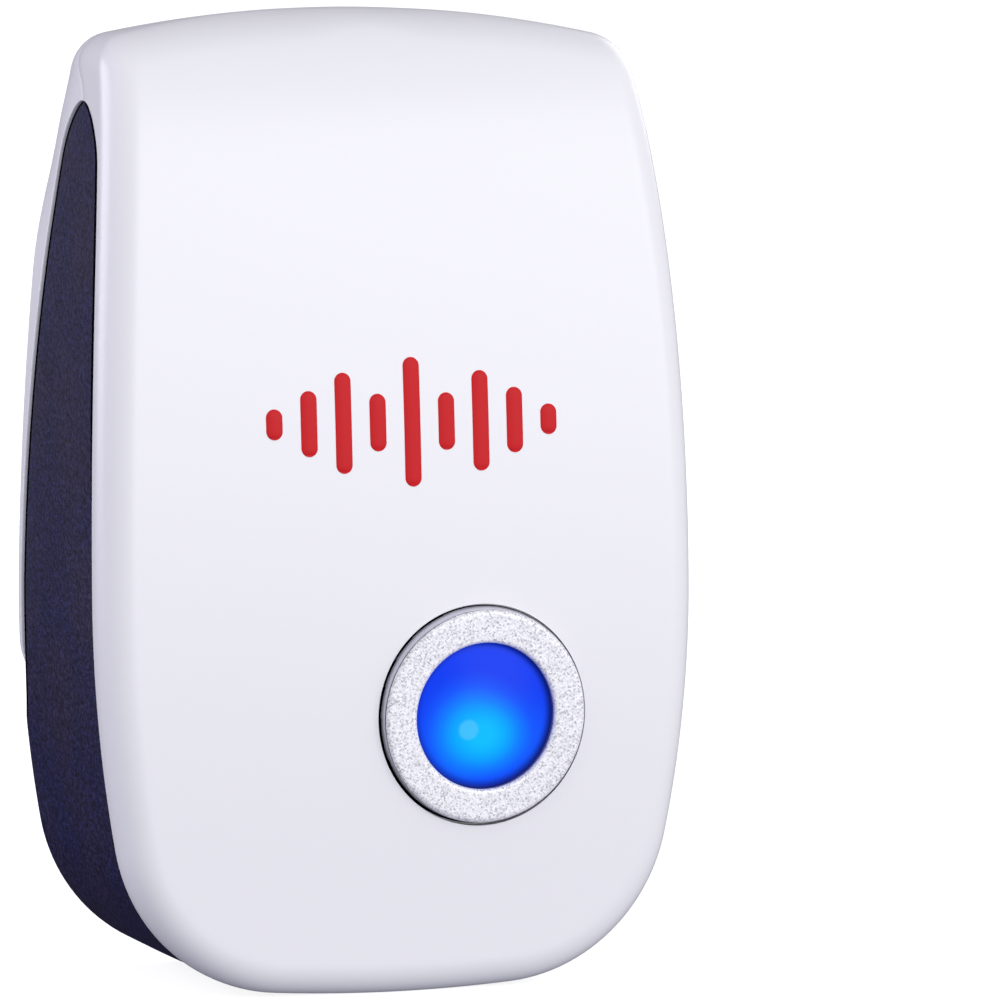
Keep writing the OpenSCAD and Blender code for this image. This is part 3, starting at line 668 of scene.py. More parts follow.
def lit_lens(centre):
    """Blue acrylic over a lit lamp: a cyan glow round the lamp, off centre, in royal blue, darkened at the
    edge by painted shade where the ring shades it.
    """
    made, tree, place = blank("acrylic_blue_lit")

    def near(x, z, inner, outer, most):
        """How near a point is to a place given in mm from the middle of the lens: most inside inner."""
        to = put(
            tree,
            "ShaderNodeVectorMath",
            {0: place, 1: centre + Vector((x * MM, 0, z * MM))},
            operation="DISTANCE",
        ).outputs["Value"]
        return put(
            tree,
            "ShaderNodeMapRange",
            {"Value": to, "From Min": inner * MM, "From Max": outer * MM, "To Min": most, "To Max": 0.0},
            interpolation_type="SMOOTHSTEP",
        ).outputs["Result"]

    glow = put(
        tree,
        "ShaderNodeMath",
        {0: near(-1.3, -1.6, 0.4, 6.6, 0.95), 1: near(3.2, -2.4, 0.4, 6.0, 0.28)},
        operation="ADD",
    ).outputs["Value"]
    field = put(
        tree,
        "ShaderNodeValToRGB",
        {"Fac": glow},
        stops=[
            (0.0, linear("#0A3CF0")),
            (0.22, linear("#0F58FB")),
            (0.5, linear("#0A82FE")),
            (0.78, linear("#03ABFE")),
            (1.0, linear("#0CC2FF")),
        ],
    ).outputs["Color"]
    hot = put(
        tree,
        "ShaderNodeMix",
        {"Factor": near(-2.0, -1.2, 0.8, 1.2, 0.75), "A": field, "B": linear("#4CC8FA")},
        data_type="RGBA",
    ).outputs["Result"]
    # Painted shade: the glow darkens to deep navy towards the lens's edge, where the ring's inner wall would
    # shade it.
    clear_of_rim_shade = near(-0.2, 0.15, 6.3, 7.5, 1.0)
    rim = put(
        tree, "ShaderNodeMix", {"Factor": clear_of_rim_shade, "A": linear("#07186E"), "B": hot}, data_type="RGBA"
    ).outputs["Result"]
    return surfaced(
        made,
        {
            "Base Color": linear("#03124E"),
            "Roughness": 0.3,
            "Specular IOR Level": 0.08,
            "Emission Color": rim,
            "Emission Strength": 0.95,
        },
    )


def zinc_plate():
    """Zinc-plated steel: a bright grey metal, a little clouded."""
    light, dark = linear("#C9CACB"), linear("#9FA2A6")
    return mottled("zinc_plated_steel", light, dark, 0.5, (0.25, 0.4), 0.1, Metallic=1.0)


def satin_abs(colours):
    """ABS from a lightly etched tool: white with a satin grain, duller than the hood."""
    return mottled(
        "moulded_abs_satin_white",
        colours.cover,
        scaled(colours.cover, 0.98),
        0.5,
        (0.32, 0.38),
        0.06,
        0.01,
        IOR=1.53,
    )


def board_mask():
    """Green solder mask over copper: the tracks stand out a little lighter than the laminate."""
    made, tree, place = blank("laminate_solder_mask")
    tracks = put(
        tree,
        "ShaderNodeTexVoronoi",
        {"Vector": place, "Scale": per_metre(5), "Randomness": 0.6},
        distance="CHEBYCHEV",
        feature="F1",
    ).outputs["Distance"]
    shade = put(
        tree,
        "ShaderNodeValToRGB",
        {"Fac": tracks},
        stops=[
            (0.0, linear("#2E8C4A")),
            (0.3, linear("#2E8C4A")),
            (0.34, linear("#1A6232")),
            (1.0, linear("#185C2F")),
        ],
    ).outputs["Color"]
    bump = put(
        tree, "ShaderNodeBump", {"Strength": 0.3, "Distance": 0.03 * MM, "Height": tracks}, invert=True
    ).outputs["Normal"]
    return surfaced(made, {"Base Color": shade, "Roughness": 0.35, "Normal": bump, "IOR": 1.5})


def wound_wire():
    """Enamelled copper wound in layers: fine ridges, one for each turn of wire, painted bright along each
    turn and dark between the turns as painted highlight and painted shade.
    """
    made, tree, place = blank("copper_wire_enamelled")
    turns = put(
        tree,
        "ShaderNodeTexWave",
        {"Vector": place, "Scale": per_metre(0.25) / 6, "Distortion": 0.4},
        wave_type="BANDS",
        bands_direction="Y",
    ).outputs["Fac"]
    # Painted highlight and shade: each turn is painted bright and the gap between turns dark.
    shade = put(
        tree,
        "ShaderNodeValToRGB",
        {"Fac": turns},
        stops=[(0.1, linear("#6B3415")), (0.8, linear("#C77B45"))],
    ).outputs["Color"]
    bump = put(
        tree, "ShaderNodeBump", {"Strength": 0.8, "Distance": 0.08 * MM, "Height": turns}
    ).outputs["Normal"]
    return surfaced(made, {"Base Color": shade, "Metallic": 0.9, "Roughness": 0.3, "Normal": bump})


# ---------------------------------------------------------------- operators


def settings_of(context):
    return context.scene.repeller


class REPELLER_OT_front_hood(bpy.types.Operator):
    """Builds the white hood, with its rolled top, rounded edge, screw posts and the seat of the ring"""

    bl_idname = "repeller.front_hood"
    bl_label = "Front hood"

    def execute(self, context):
        settings = settings_of(context)
        s, lamp, screws = settings.casing, settings.lamp, settings.screws
        casing = Casing(s)
        _, z = casing.at(0)
        rim = np.where(z > casing.tip_z, casing.top_seam(z), casing.panel_front(z))
        edge = casing.edge_radius()
        side_end = casing.front_depth(z) - edge
        broken = np.where(z > casing.tip_z, 0.01 * MM, s.edge_break)
        broken = np.minimum(broken, 0.4 * (side_end - rim))
        inner_z = casing.at(s.wall)[1]
        wall_end = np.maximum(rim + 0.2 * MM, casing.inner_front_depth(inner_z) - 0.8 * MM)

        inner_scales = (0.05, 0.3, 0.5, 0.7, 0.84, 0.93, 1)
        rings = [casing.front_ring(s.wall + 0.8 * MM, k, inside=True) for k in inner_scales]
        rings += [casing.ring(s.wall, wall_end), casing.ring(s.wall, rim)]
        for a in np.radians(np.linspace(90, 0, 4)):
            rings.append(casing.ring(broken * (1 - math.cos(a)), rim + broken * (1 - math.sin(a))))
        for k in (0.25, 0.5, 0.75):
            rings.append(casing.ring(0, rim + broken + (side_end - rim - broken) * k))
        for a in np.radians(np.linspace(0, 90, 17)):
            inset = edge * (1 - math.cos(a))
            depth = casing.front_depth(casing.at(inset)[1])
            rings.append(casing.ring(inset, depth - edge * (1 - math.sin(a))))
        shrink = np.concatenate([1 - np.geomspace(0.01, 0.12, 9), np.linspace(0.86, 0.03, 34)])
        rings += [casing.front_ring(edge, k) for k in shrink]
        hood = new_object(context, "hood_shell", loft(rings, "fan"))

        mid_x, mid_z = (RING_LOW.x + RING_HIGH.x) / 2, (RING_LOW.z + RING_HIGH.z) / 2
        seat = casing.front_depth(mid_z) - lamp.seat_depth
        seat_r = lamp.ring_radius + lamp.seat_gap
        through = lamp.spigot + 0.1 * MM
        cutter = [(through, s.depth / 2), (through, seat), (seat_r, seat), (seat_r, s.depth + 1 * MM)]
        carve(context, hood, turned(cutter, mid_x, mid_z, "cap", steps=160))
        posts = []
        start = s.plate + 0.1 * MM
        inner, outer = screws.post_hole, screws.post_radius
        for x, z_at in screw_places("rear_screws"):
            end = float(casing.inner_front_depth(np.array(z_at))) + 0.5 * MM
            post = [(inner, start), (outer, start), (outer, end), (inner, end)]
            posts.append(turned(post, x, z_at, "loop", steps=48))
        carve(context, hood, joined(posts), "UNION")
        finish_piece(hood, ["front_hood"], [polished_abs(settings.colours)])
        return {"FINISHED"}


class REPELLER_OT_side_band(bpy.types.Operator):
    """Builds the dark grained band between the covers, with the sound slots in the underside"""

    bl_idname = "repeller.side_band"
    bl_label = "Side band"

    def execute(self, context):
        s = settings_of(context).casing
        casing = Casing(s)
        _, z = casing.at(0)
        front = casing.panel_front(z) - s.seam
        fade = np.clip((z - casing.strip_end_z) / (2 * MM), 0, 1)
        rear = casing.panel_rear(z) + s.seam * fade
        keep = (z < casing.tip_z) & (front - rear > 0.3 * MM)
        count = len(z)
        order = [(k + count // 2) % count for k in range(count - 1, -1, -1)]
        order = [k for k in order if keep[k]]

        round_r = 0.2 * MM
        # Columns this far in from each edge give the painted seam shade a crisp border.
        line = np.minimum(s.seam_line, 0.3 * (front - rear))
        front_in, rear_in = s.band_front_recess, s.band_rear_recess
        inner = s.band_rear_recess + s.wall - 0.1 * MM
        # Low down the band is gently rounded towards its front edge.
        fall = s.band_fall * smooth_step((14 * MM - z) / (34 * MM))
        columns = []
        for a in np.radians(np.linspace(90, 0, 4)):
            columns.append((rear_in + round_r * (1 - math.cos(a)), rear + round_r * (1 - math.sin(a))))
        columns.append((rear_in, rear + line))
        for k in np.linspace(0.05, 1, 20):
            bow = fall * max(0.0, (k - 0.4) / 0.6) ** 2
            depth = rear + line + (front - rear - 2 * line) * k
            columns.append((rear_in + (front_in - rear_in) * k + bow, depth))
        for a in np.radians(np.linspace(0, 90, 4)):
            inset = front_in + fall + round_r * (1 - math.cos(a))
            columns.append((inset, front - round_r * (1 - math.sin(a))))
        columns += [(inner, front), (inner, rear)]
        grid = [casing.ring(inset, depth) for inset, depth in columns]
        body = loft([[column[k] for column in grid] for k in order], "cap")

        band = new_object(context, "grained_band", body)
        x, y = (CUP_LOW.x + CUP_HIGH.x) / 2, (CUP_LOW.y + CUP_HIGH.y) / 2
        self.cut_slots(context, band, x, y, casing.bottom_z)
        self.add_collar(context, band, x, y, casing.bottom_z)
        colours = settings_of(context).colours
        # The band's second finish is the painted shade of its seams.
        finish_piece(band, ["side_band"], [grained_abs(colours), seam_shade()])
        self.shade_seams(band, casing)
        return {"FINISHED"}

    def cut_slots(self, context, band, x, y, bottom_z):
        """Cuts the row of sound slots under the sounder."""
        sound = settings_of(context).sound
        ends = (bottom_z - 1 * MM, bottom_z + 4 * MM)
        slots = []
        for k in range(-3, 4):
            at = x + k * sound.slot_pitch
            half = math.sqrt(sound.slot_reach**2 - (k * sound.slot_pitch) ** 2) - sound.slot_radius
            loop = round_corner((at, y + half), sound.slot_radius, 0, 180, 8)
            loop += round_corner((at, y - half), sound.slot_radius, 180, 360, 8)
            slots.append(loft([[(p, q, h) for p, q in loop] for h in ends], "cap"))
        carve(context, band, joined(slots))

    def add_collar(self, context, band, x, y, bottom_z):
        """Adds the collar that holds the sounder's cup."""
        sound = settings_of(context).sound
        inner = sound.cup_radius + sound.play
        outer = inner + sound.collar_wall
        low, high = bottom_z + sound.collar_from, bottom_z + sound.collar_to
        corners = ((inner, low), (outer, low), (outer, high), (inner, high))
        collar = loft([[(p, q, h) for p, q in circle(x, y, r, 96)] for r, h in corners], "loop")
        cut_band = bmesh.new()
        cut_band.from_mesh(band.data)
        whole = joined([cut_band, collar])
        whole.to_mesh(band.data)
        whole.free()

    def shade_seams(self, band, casing):
        """Paints shade on the outer faces along both edges of the panels: the dark of the seam, as painted
        shade.
        """
        line = casing.sizes.seam + casing.sizes.seam_line
        for face in band.data.polygons:
            p = face.center
            if face.normal.x * p.x + face.normal.z * p.z < 0:
                continue
            at_front = -p.y > float(casing.panel_front(np.array(p.z))) - line
            at_rear = -p.y < float(casing.panel_rear(np.array(p.z))) + line
            if at_front or (at_rear and p.z > casing.strip_end_z):
                face.material_index = 1


class REPELLER_OT_rear_cover(bpy.types.Operator):
    """Builds the white rear cover, with its lip, screw recesses and blade slots"""

    bl_idname = "repeller.rear_cover"
    bl_label = "Rear cover"

    def execute(self, context):
        settings = settings_of(context)
        s = settings.casing
        casing = Casing(s)
        _, z = casing.at(0)
        low_inset = s.band_rear_recess + s.wall + 0.1 * MM
        outside = smooth_step((z - casing.strip_end_z) / (8 * MM))
        inset = low_inset * (1 - outside)
        lip = np.where(z > casing.tip_z, casing.top_seam(z), np.maximum(casing.panel_rear(z), 0.1 * MM))
        back = np.minimum(0.5 * MM, 0.5 * lip)
        broken = np.where(z > casing.tip_z, 0.01 * MM, np.minimum(s.edge_break, 0.3 * lip))

        rings = [casing.ring(inset + 1.5 * MM, 0)]
        for a in np.radians(np.linspace(90, 0, 7)):
            rings.append(casing.ring(inset + back * (1 - math.cos(a)), back * (1 - math.sin(a))))
        for k in np.linspace(0, 1, 13)[1:-1]:
            rings.append(casing.ring(inset, back + (lip - broken - back) * k))
        for a in np.radians(np.linspace(0, 90, 4)):
            rings.append(casing.ring(inset + broken * (1 - math.cos(a)), lip - broken * (1 - math.sin(a))))
        rings += [
            casing.ring(inset + s.wall - 0.2 * MM, lip),
            casing.ring(np.maximum(low_inset, inset + s.wall) + 0.05 * MM, s.plate),
        ]
        cover = new_object(context, "rear_shell", loft(rings, "fan"))

        self.cut_openings(context, cover)
        self.add_standoffs(context, cover)
        finish_piece(cover, ["rear_cover"], [satin_abs(settings.colours)])
        return {"FINISHED"}

    def cut_openings(self, context, cover):
        """Cuts the screw recesses, the blade slots and the shallow recess that the label lies in."""
        screws = settings_of(context).screws
        axis, outside, floor, end = 0.1 * MM, -1 * MM, 1.2 * MM, 3.4 * MM
        recess = [
            (axis, outside),
            (screws.recess_mouth, outside),
            (screws.recess_radius, 0.15 * MM),
            (screws.recess_radius, floor),
            (screws.through, floor),
            (screws.through, end),
            (axis, end),
        ]
        cuts = [turned(recess, x, z, "cap", steps=64) for x, z in screw_places("rear_screws")]
        play = 0.05 * MM
        for node in ("plug_blade_left", "plug_blade_right"):
            low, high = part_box(node)
            corners = (low.x - play, -4 * MM, low.z - play), (high.x + play, 1 * MM, high.z + play)
            cuts.append(block(*corners))
        low, high = LABEL_LOW, LABEL_HIGH
        play, corner = 0.2 * MM, 1.5 * MM
        outline = []
        for side_x, side_z, start in ((1, 1, 0), (-1, 1, 90), (-1, -1, 180), (1, -1, 270)):
            corner_x = (high.x if side_x > 0 else low.x) + side_x * (play - corner)
            corner_z = (high.z if side_z > 0 else low.z) + side_z * (play - corner)
            outline += round_corner((corner_x, corner_z), corner, start, start + 90, 8)
        cuts.append(loft([[(x, y, z) for x, z in outline] for y in (1 * MM, low.y)], "cap"))
        carve(context, cover, joined(cuts))

    def add_standoffs(self, context, cover):
        """Adds the four standoffs that the circuit board is screwed to."""
        screws, plate = settings_of(context).screws, settings_of(context).casing.plate
        top = -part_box("main_board")[1].y
        axis, foot, hole_end = 0.05 * MM, plate / 2, plate + 1 * MM
        outer, hole = screws.standoff_radius, screws.standoff_hole
        standoff = [(axis, foot), (outer, foot), (outer, top)]
        standoff += [(hole, top), (hole, hole_end), (axis, hole_end)]
        standoffs = [turned(standoff, x, z, "fan", steps=40) for x, z in screw_places("board_screws")]
        carve(context, cover, joined(standoffs), "UNION")


def screw_places(node):
    """x and z of a node's four screws, one in each quarter of the casing, from their corners."""
    found = []
    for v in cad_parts[node].data.vertices:
        key = (math.copysign(1, v.co.x), math.copysign(1, v.co.z))
        found.append((key, v.co.x, v.co.z))
    places = []
    for key in sorted({k for k, _, _ in found}):
        xs = [x for k, x, _ in found if k == key]
        zs = [z for k, _, z in found if k == key]
        places.append(((min(xs) + max(xs)) / 2, (min(zs) + max(zs)) / 2))
    return places


class REPELLER_OT_rear_screws(bpy.types.Operator):
    """Builds the four pan-head screws with cross recesses"""

    bl_idname = "repeller.rear_screws"
    bl_label = "Rear screws"

    def execute(self, context):
        s = settings_of(context).screws
        low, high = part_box("rear_screws")
        head_top, end, axis = -high.y, -low.y, 0.05 * MM
        under_head = head_top + s.head_height
        profile = [(axis, head_top)]
        round_mid = (s.head_radius - s.head_round, head_top + s.head_round)
        profile += round_corner(round_mid, s.head_round, -90, 0, 6)
        profile += [(s.head_radius, under_head), (s.shank, under_head)]
        for k in range(9):
            at = under_head + 0.6 * MM + k * s.pitch
            profile += [(s.core, at), (s.shank, at + s.pitch * 0.4), (s.core, at + s.pitch * 0.8)]
        profile += [(0.3 * MM, end), (axis, end)]
        places = screw_places("rear_screws")
        parts = [turned(profile, x, z, "fan", steps=48) for x, z in places]
        screws = new_object(context, "case_screws", joined(parts))
        floor, above = -head_top - s.cross_depth, -head_top + 0.5 * MM
        for w, h in ((s.cross_reach, s.cross_half), (s.cross_half, s.cross_reach)):
            arms = [block((x - w, floor, z - h), (x + w, above, z + h)) for x, z in places]
            carve(context, screws, joined(arms))
        finish_piece(screws, ["rear_screws"], [zinc_plate()], crease=30)
        return {"FINISHED"}


class REPELLER_OT_lamp(bpy.types.Operator):
    """Builds the silver ring and the lit blue lens"""

    bl_idname = "repeller.lamp"
    bl_label = "Lamp ring and lens"

    def execute(self, context):
        lamp = settings_of(context).lamp
        casing = Casing(settings_of(context).casing)
        x, z = (RING_LOW.x + RING_HIGH.x) / 2, (RING_LOW.z + RING_HIGH.z) / 2
        seat = float(casing.front_depth(np.array(z))) - lamp.seat_depth + 0.02 * MM
        r, top, edge = lamp.ring_radius, lamp.ring_top, lamp.ring_round
        hole = lamp.lens_radius + 0.05 * MM
        profile = [(hole, lamp.ring_back), (lamp.spigot, lamp.ring_back), (lamp.spigot, seat), (r, seat)]
        # The wall leans in to a fine groove, which parts it from the gritted top.
        foot, groove, groove_width = seat + 0.1 * MM, top - edge - 0.02 * MM, 0.12 * MM
        flare, cut = 0.16 * MM, 0.05 * MM
        for k in np.linspace(0, 1, 15):
            profile.append((r + flare * (1 - 1.6 * k), foot + (groove - foot) * k))
        shoulder = r - 0.6 * flare
        profile += [(shoulder - cut, groove), (shoulder - cut, groove + groove_width)]
        profile += round_corner((shoulder - cut - edge, top - edge), edge, 0, 90, 8)[1:]
        profile += [(r - edge - 0.4 * MM, top), (hole + edge + 0.4 * MM, top)]
        profile += round_corner((hole + edge, top - edge), edge, 90, 180, 8)
        profile += [(hole, top - 0.9 * MM)]
        ring = new_object(context, "lamp_ring", turned(profile, x, z, "loop", steps=192))
        # The bare side of the ring is spun metal that softly mirrors the hood round it.
        light, dark = linear("#DCDCE6"), linear("#CFCEDA")
        spun = mottled("metal_spun", light, dark, 0.8, (0.3, 0.38), 0.05, Metallic=0.8)
        finishes = [grit_paint(settings_of(context).colours), spun, seam_shade()]
        finish_piece(ring, ["bezel_ring"], finishes, crease=30)
        # Painted shade: the ring's wall below the hood's surface, and the groove, take the near-black seam
        # finish as the dark of the gap round the ring.
        for face in ring.data.polygons:
            depth, out = -face.center.y, math.hypot(face.center.x - x, face.center.z - z)
            sunk = depth < float(casing.front_depth(np.array(face.center.z))) - 0.02 * MM
            in_groove = groove < depth < groove + groove_width and abs(face.normal.y) < 0.3
            if sunk or (in_groove and out > shoulder - 2 * cut):
                face.material_index = 2
            elif depth < groove:
                face.material_index = 1

        rim = lamp.lens_top - lamp.dome
        ball = (lamp.lens_radius**2 + lamp.dome**2) / (2 * lamp.dome)
        inner = lamp.lens_radius - lamp.lens_wall
        outer = [
            (ball * math.sin(a), lamp.lens_top - ball * (1 - math.cos(a)))
            for a in np.linspace(0.004, math.asin(lamp.lens_radius / ball), 25)
        ]
        profile = outer + [(lamp.lens_radius, lamp.lens_back), (inner, lamp.lens_back)]
        profile += [(inner, rim - lamp.lens_wall), (0.05 * MM, rim - lamp.lens_wall)]
        lens = new_object(context, "lamp_lens", turned(profile, x, z, "fan", steps=160))
        glow = lit_lens(Vector((x, -lamp.lens_top + 0.4 * MM, z)))
        finish_piece(lens, ["light_lens"], [glow])
        return {"FINISHED"}


class REPELLER_OT_front_print(bpy.types.Operator):
    """Prints the sound-level symbol on the rolling front"""

    bl_idname = "repeller.front_print"
    bl_label = "Front print"

    def execute(self, context):
        sizes = settings_of(context).print
        casing = Casing(settings_of(context).casing)
        mid_x, mid_z = (PRINT_LOW.x + PRINT_HIGH.x) / 2, (PRINT_LOW.z + PRINT_HIGH.z) / 2
        # Heights of the bars in millimetres, from left to right.
        heights = [3, 6.4, 9.8, 5.6, 12.6, 5.6, 9.8, 6.4, 3]
        cap = sizes.bar_width / 2
        parts = []
        for k, tall in enumerate(heights):
            x = mid_x + (k - (len(heights) - 1) / 2) * sizes.bar_pitch
            half = tall * MM / 2
            ups = [-half + cap * (1 - math.cos(a)) for a in np.linspace(0.12, math.pi / 2, 10)]
            ups += list(np.linspace(-half + cap, half - cap, 2 + int(tall)))[1:-1]
            ups += [half - cap * (1 - math.cos(a)) for a in np.linspace(math.pi / 2, 0.12, 10)]
            rings = []
            for up in ups:
                over = max(0.0, abs(up) - (half - cap))
                w = math.sqrt(max(cap * cap - over * over, 1e-12))
                depth = float(casing.front_depth(np.array(mid_z + up)))
                right = [(w * 0.94, -sizes.ink), (w, -sizes.ink * 0.5), (w, 0.05 * MM)]
                section = [(-out, off) for out, off in reversed(right)] + right
                rings.append([(x + out, -depth + off, mid_z + up) for out, off in section])
            parts.append(loft(rings, "cap"))
        mark = new_object(context, "sound_symbol", joined(parts))
        ink = settings_of(context).colours.ink
        # Pad-printed ink: a flat even red with the satin of a thin film.
        film = mottled("pad_print_ink_red", ink, scaled(ink, 0.9), 0.25, (0.45, 0.55), 0.1, 0.004, IOR=1.3)
        finish_piece(mark, ["front_print"], [film], crease=50)
        return {"FINISHED"}


class REPELLER_OT_plug_blades(bpy.types.Operator):
    """Builds the two plug blades, stamped flat with a detent hole near the tip"""

    bl_idname = "repeller.plug_blades"
    bl_label = "Plug blades"

    def execute(self, context):
        plug = settings_of(context).plug
        # Nickel-plated brass, stamped and tumbled: a warm bright metal with fine drawn scratches.
        light, dark = linear("#DDD3B8"), linear("#C4B894")
        metal = mottled("brass_nickel_plated", light, dark, 0.35, (0.2, 0.36), 0.12, 0.015, Metallic=1.0)
        for side, node in (("left", "plug_blade_left"), ("right", "plug_blade_right")):
            low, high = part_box(node)
            half_w, tip = plug.width / 2, plug.tip
            soft = 0.25 * MM
            rings = []
            for x, inset in (
                (low.x, soft),
                (low.x + soft * 0.3, soft * 0.3),
                (low.x + soft, 0),
                (high.x - soft, 0),
                (high.x - soft * 0.3, soft * 0.3),
                (high.x, soft),
            ):
                w, end = half_w - inset, plug.reach - inset
                rings.append(
                    [
                        (x, -plug.root, -w),
                        (x, end - tip, -w),
                        (x, end - tip * 0.45, -w + tip * 0.38),
                        (x, end, -w + tip),
                        (x, end, w - tip),
                        (x, end - tip * 0.45, w - tip * 0.38),
                        (x, end - tip, w),
                        (x, -plug.root, w),
                    ]
                )
            blade = new_object(context, f"blade_{side}", loft(rings, "cap"))
            hole = [
                (low.x - 1 * MM, plug.hole_radius + 0.9 * MM),
                (low.x + 0.1 * MM, plug.hole_radius),
                (high.x - 0.1 * MM, plug.hole_radius),
                (high.x + 1 * MM, plug.hole_radius + 0.9 * MM),
            ]
            cutter = [[(x, y, z) for y, z in circle(plug.hole_place, 0, r, 48)] for x, r in hole]
            carve(context, blade, loft(cutter, "cap"))
            finish_piece(blade, [node], [metal], crease=30)
        return {"FINISHED"}


# What each inner part is made of: its nodes, the material, its light and dark colour, the grain in
# millimetres, the range of roughness, the strength of the bump, and what else its surface needs.
PLASTIC, METAL = {"IOR": 1.53}, {"Metallic": 1.0}
INNER_FINISHES = (
    # Nylon, slightly yellow, with a dull moulded skin.
    ("blade_carrier", "moulded_nylon", "#DAD8CF", "#CFCCC0", 0.8, (0.45, 0.6), 0.15, PLASTIC),
    # Extruded PVC sleeve: smooth, softly shiny red.
    ("mains_leads sounder_leads", "pvc_sleeve_red", "#B3181C", "#9C1216", 0.5, (0.35, 0.45), 0.05, PLASTIC),
    # Zinc-plated steel, finer than on the casing screws.
    ("board_screws", "zinc_plated_steel_small", "#C9CACB", "#9FA2A6", 0.4, (0.25, 0.4), 0.1, METAL),
    # Flameproof coating, fired on: chalky blue-grey.
    ("fusible_resistor", "resistor_coating_fired", "#6A94A0", "#567E8A", 0.3, (0.55, 0.7), 0.3, {"IOR": 1.5}),
    # Dipped epoxy: thick, wet-looking red.
    (
        "film_capacitor", "epoxy_dipped_red", "#C2392C", "#A82B20", 1.2, (0.12, 0.22), 0.2,
        {"height": 0.05, "IOR": 1.55},
    ),
    # Moulded epoxy: matt black with a fine grain.
    (
        "bridge_diodes controller_chip drive_transistors chip_resistors",
        "epoxy_moulded_black", "#2A2A2D", "#1E1E20", 0.25, (0.5, 0.65), 0.25, {"IOR": 1.55},
    ),
    # Shrunk PVC sleeve over an aluminium can.
    ("smoothing_capacitor", "pvc_sleeve_navy", "#1D2450", "#171C40", 0.6, (0.22, 0.3), 0.08, PLASTIC),
    # Pressed and fired ferrite: dark grey, gritty.
    ("coil_core", "ferrite_fired", "#48484B", "#37373A", 0.2, (0.6, 0.75), 0.4, {"IOR": 2.0}),
    # Cast epoxy of the lamp, water-clear with a blue cast.
    (
        "blue_led", "epoxy_cast_clear", "#C6E2FF", "#AFD4FF", 1.5, (0.06, 0.12), 0.03,
        {"IOR": 1.55, "Transmission Weight": 0.6},
    ),
    # Tinned steel wire: bright, slightly crystalline.
    ("led_legs", "tinned_wire", "#D2D3D6", "#B4B6BA", 0.3, (0.2, 0.35), 0.1, METAL),
    # Filled white ABS, glossy so that it throws the light forward.
    ("light_cup", "moulded_abs_reflector", "#F2F2F2", "#E8E8E8", 0.9, (0.12, 0.2), 0.05, PLASTIC),
    # ABS from a plain tool: dull black.
    ("sounder_cup", "moulded_abs_black", "#303033", "#252527", 0.4, (0.45, 0.6), 0.2, PLASTIC),
    # Rolled brass: fine drawn gloss.
    ("sounder_plate", "brass_rolled", "#D9B867", "#C4A250", 0.3, (0.2, 0.34), 0.1, METAL),
    # Silvered ceramic disc: off-white, dry.
    ("sounder_ceramic", "piezo_ceramic_silvered", "#E2DDCF", "#D2CCBB", 0.3, (0.5, 0.65), 0.2, {"IOR": 1.6}),
    # Closed-cell foam: black, with open cut cells.
    (
        "sounder_gasket", "foam_closed_cell", "#2B2B2D", "#141415", 0.35, (0.8, 0.95), 0.8,
        {"height": 0.1, "IOR": 1.4},
    ),
)


class REPELLER_OT_inner_finishes(bpy.types.Operator):
    """Gives the label, the plug carrier, the circuit and the sounder their finishes"""

    bl_idname = "repeller.inner_finishes"
    bl_label = "Inner finishes"

    def execute(self, context):
        label = settings_of(context).colours.label
        # Polyester film with a satin metal backing, left blank.
        film = mottled("polyester_film_satin", label, scaled(label, 0.93), 0.6, (0.3, 0.42), 0.08)
        self.cover("rating_label", film)
        self.cover("main_board", board_mask())
        self.cover("coil_winding", wound_wire())
        for nodes, name, light, dark, grain, rough, bump, surface in INNER_FINISHES:
            self.cover(nodes, mottled(name, linear(light), linear(dark), grain, rough, bump, **surface))
        for node in ("blade_carrier", "main_board", "film_capacitor", "controller_chip", "rating_label"):
            low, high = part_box(node)
            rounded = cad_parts[node].modifiers.new("broken edges", "BEVEL")
            rounded.width = min(0.3 * MM, 0.2 * min(high[i] - low[i] for i in range(3)))
            rounded.segments, rounded.limit_method, rounded.angle_limit = 2, "ANGLE", math.radians(50)
        return {"FINISHED"}

    def cover(self, nodes, material):
        """Gives the nodes, named with spaces between, one material."""
        for node in nodes.split():
            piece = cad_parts[node]
            piece.data.materials.clear()
            piece.data.materials.append(material)


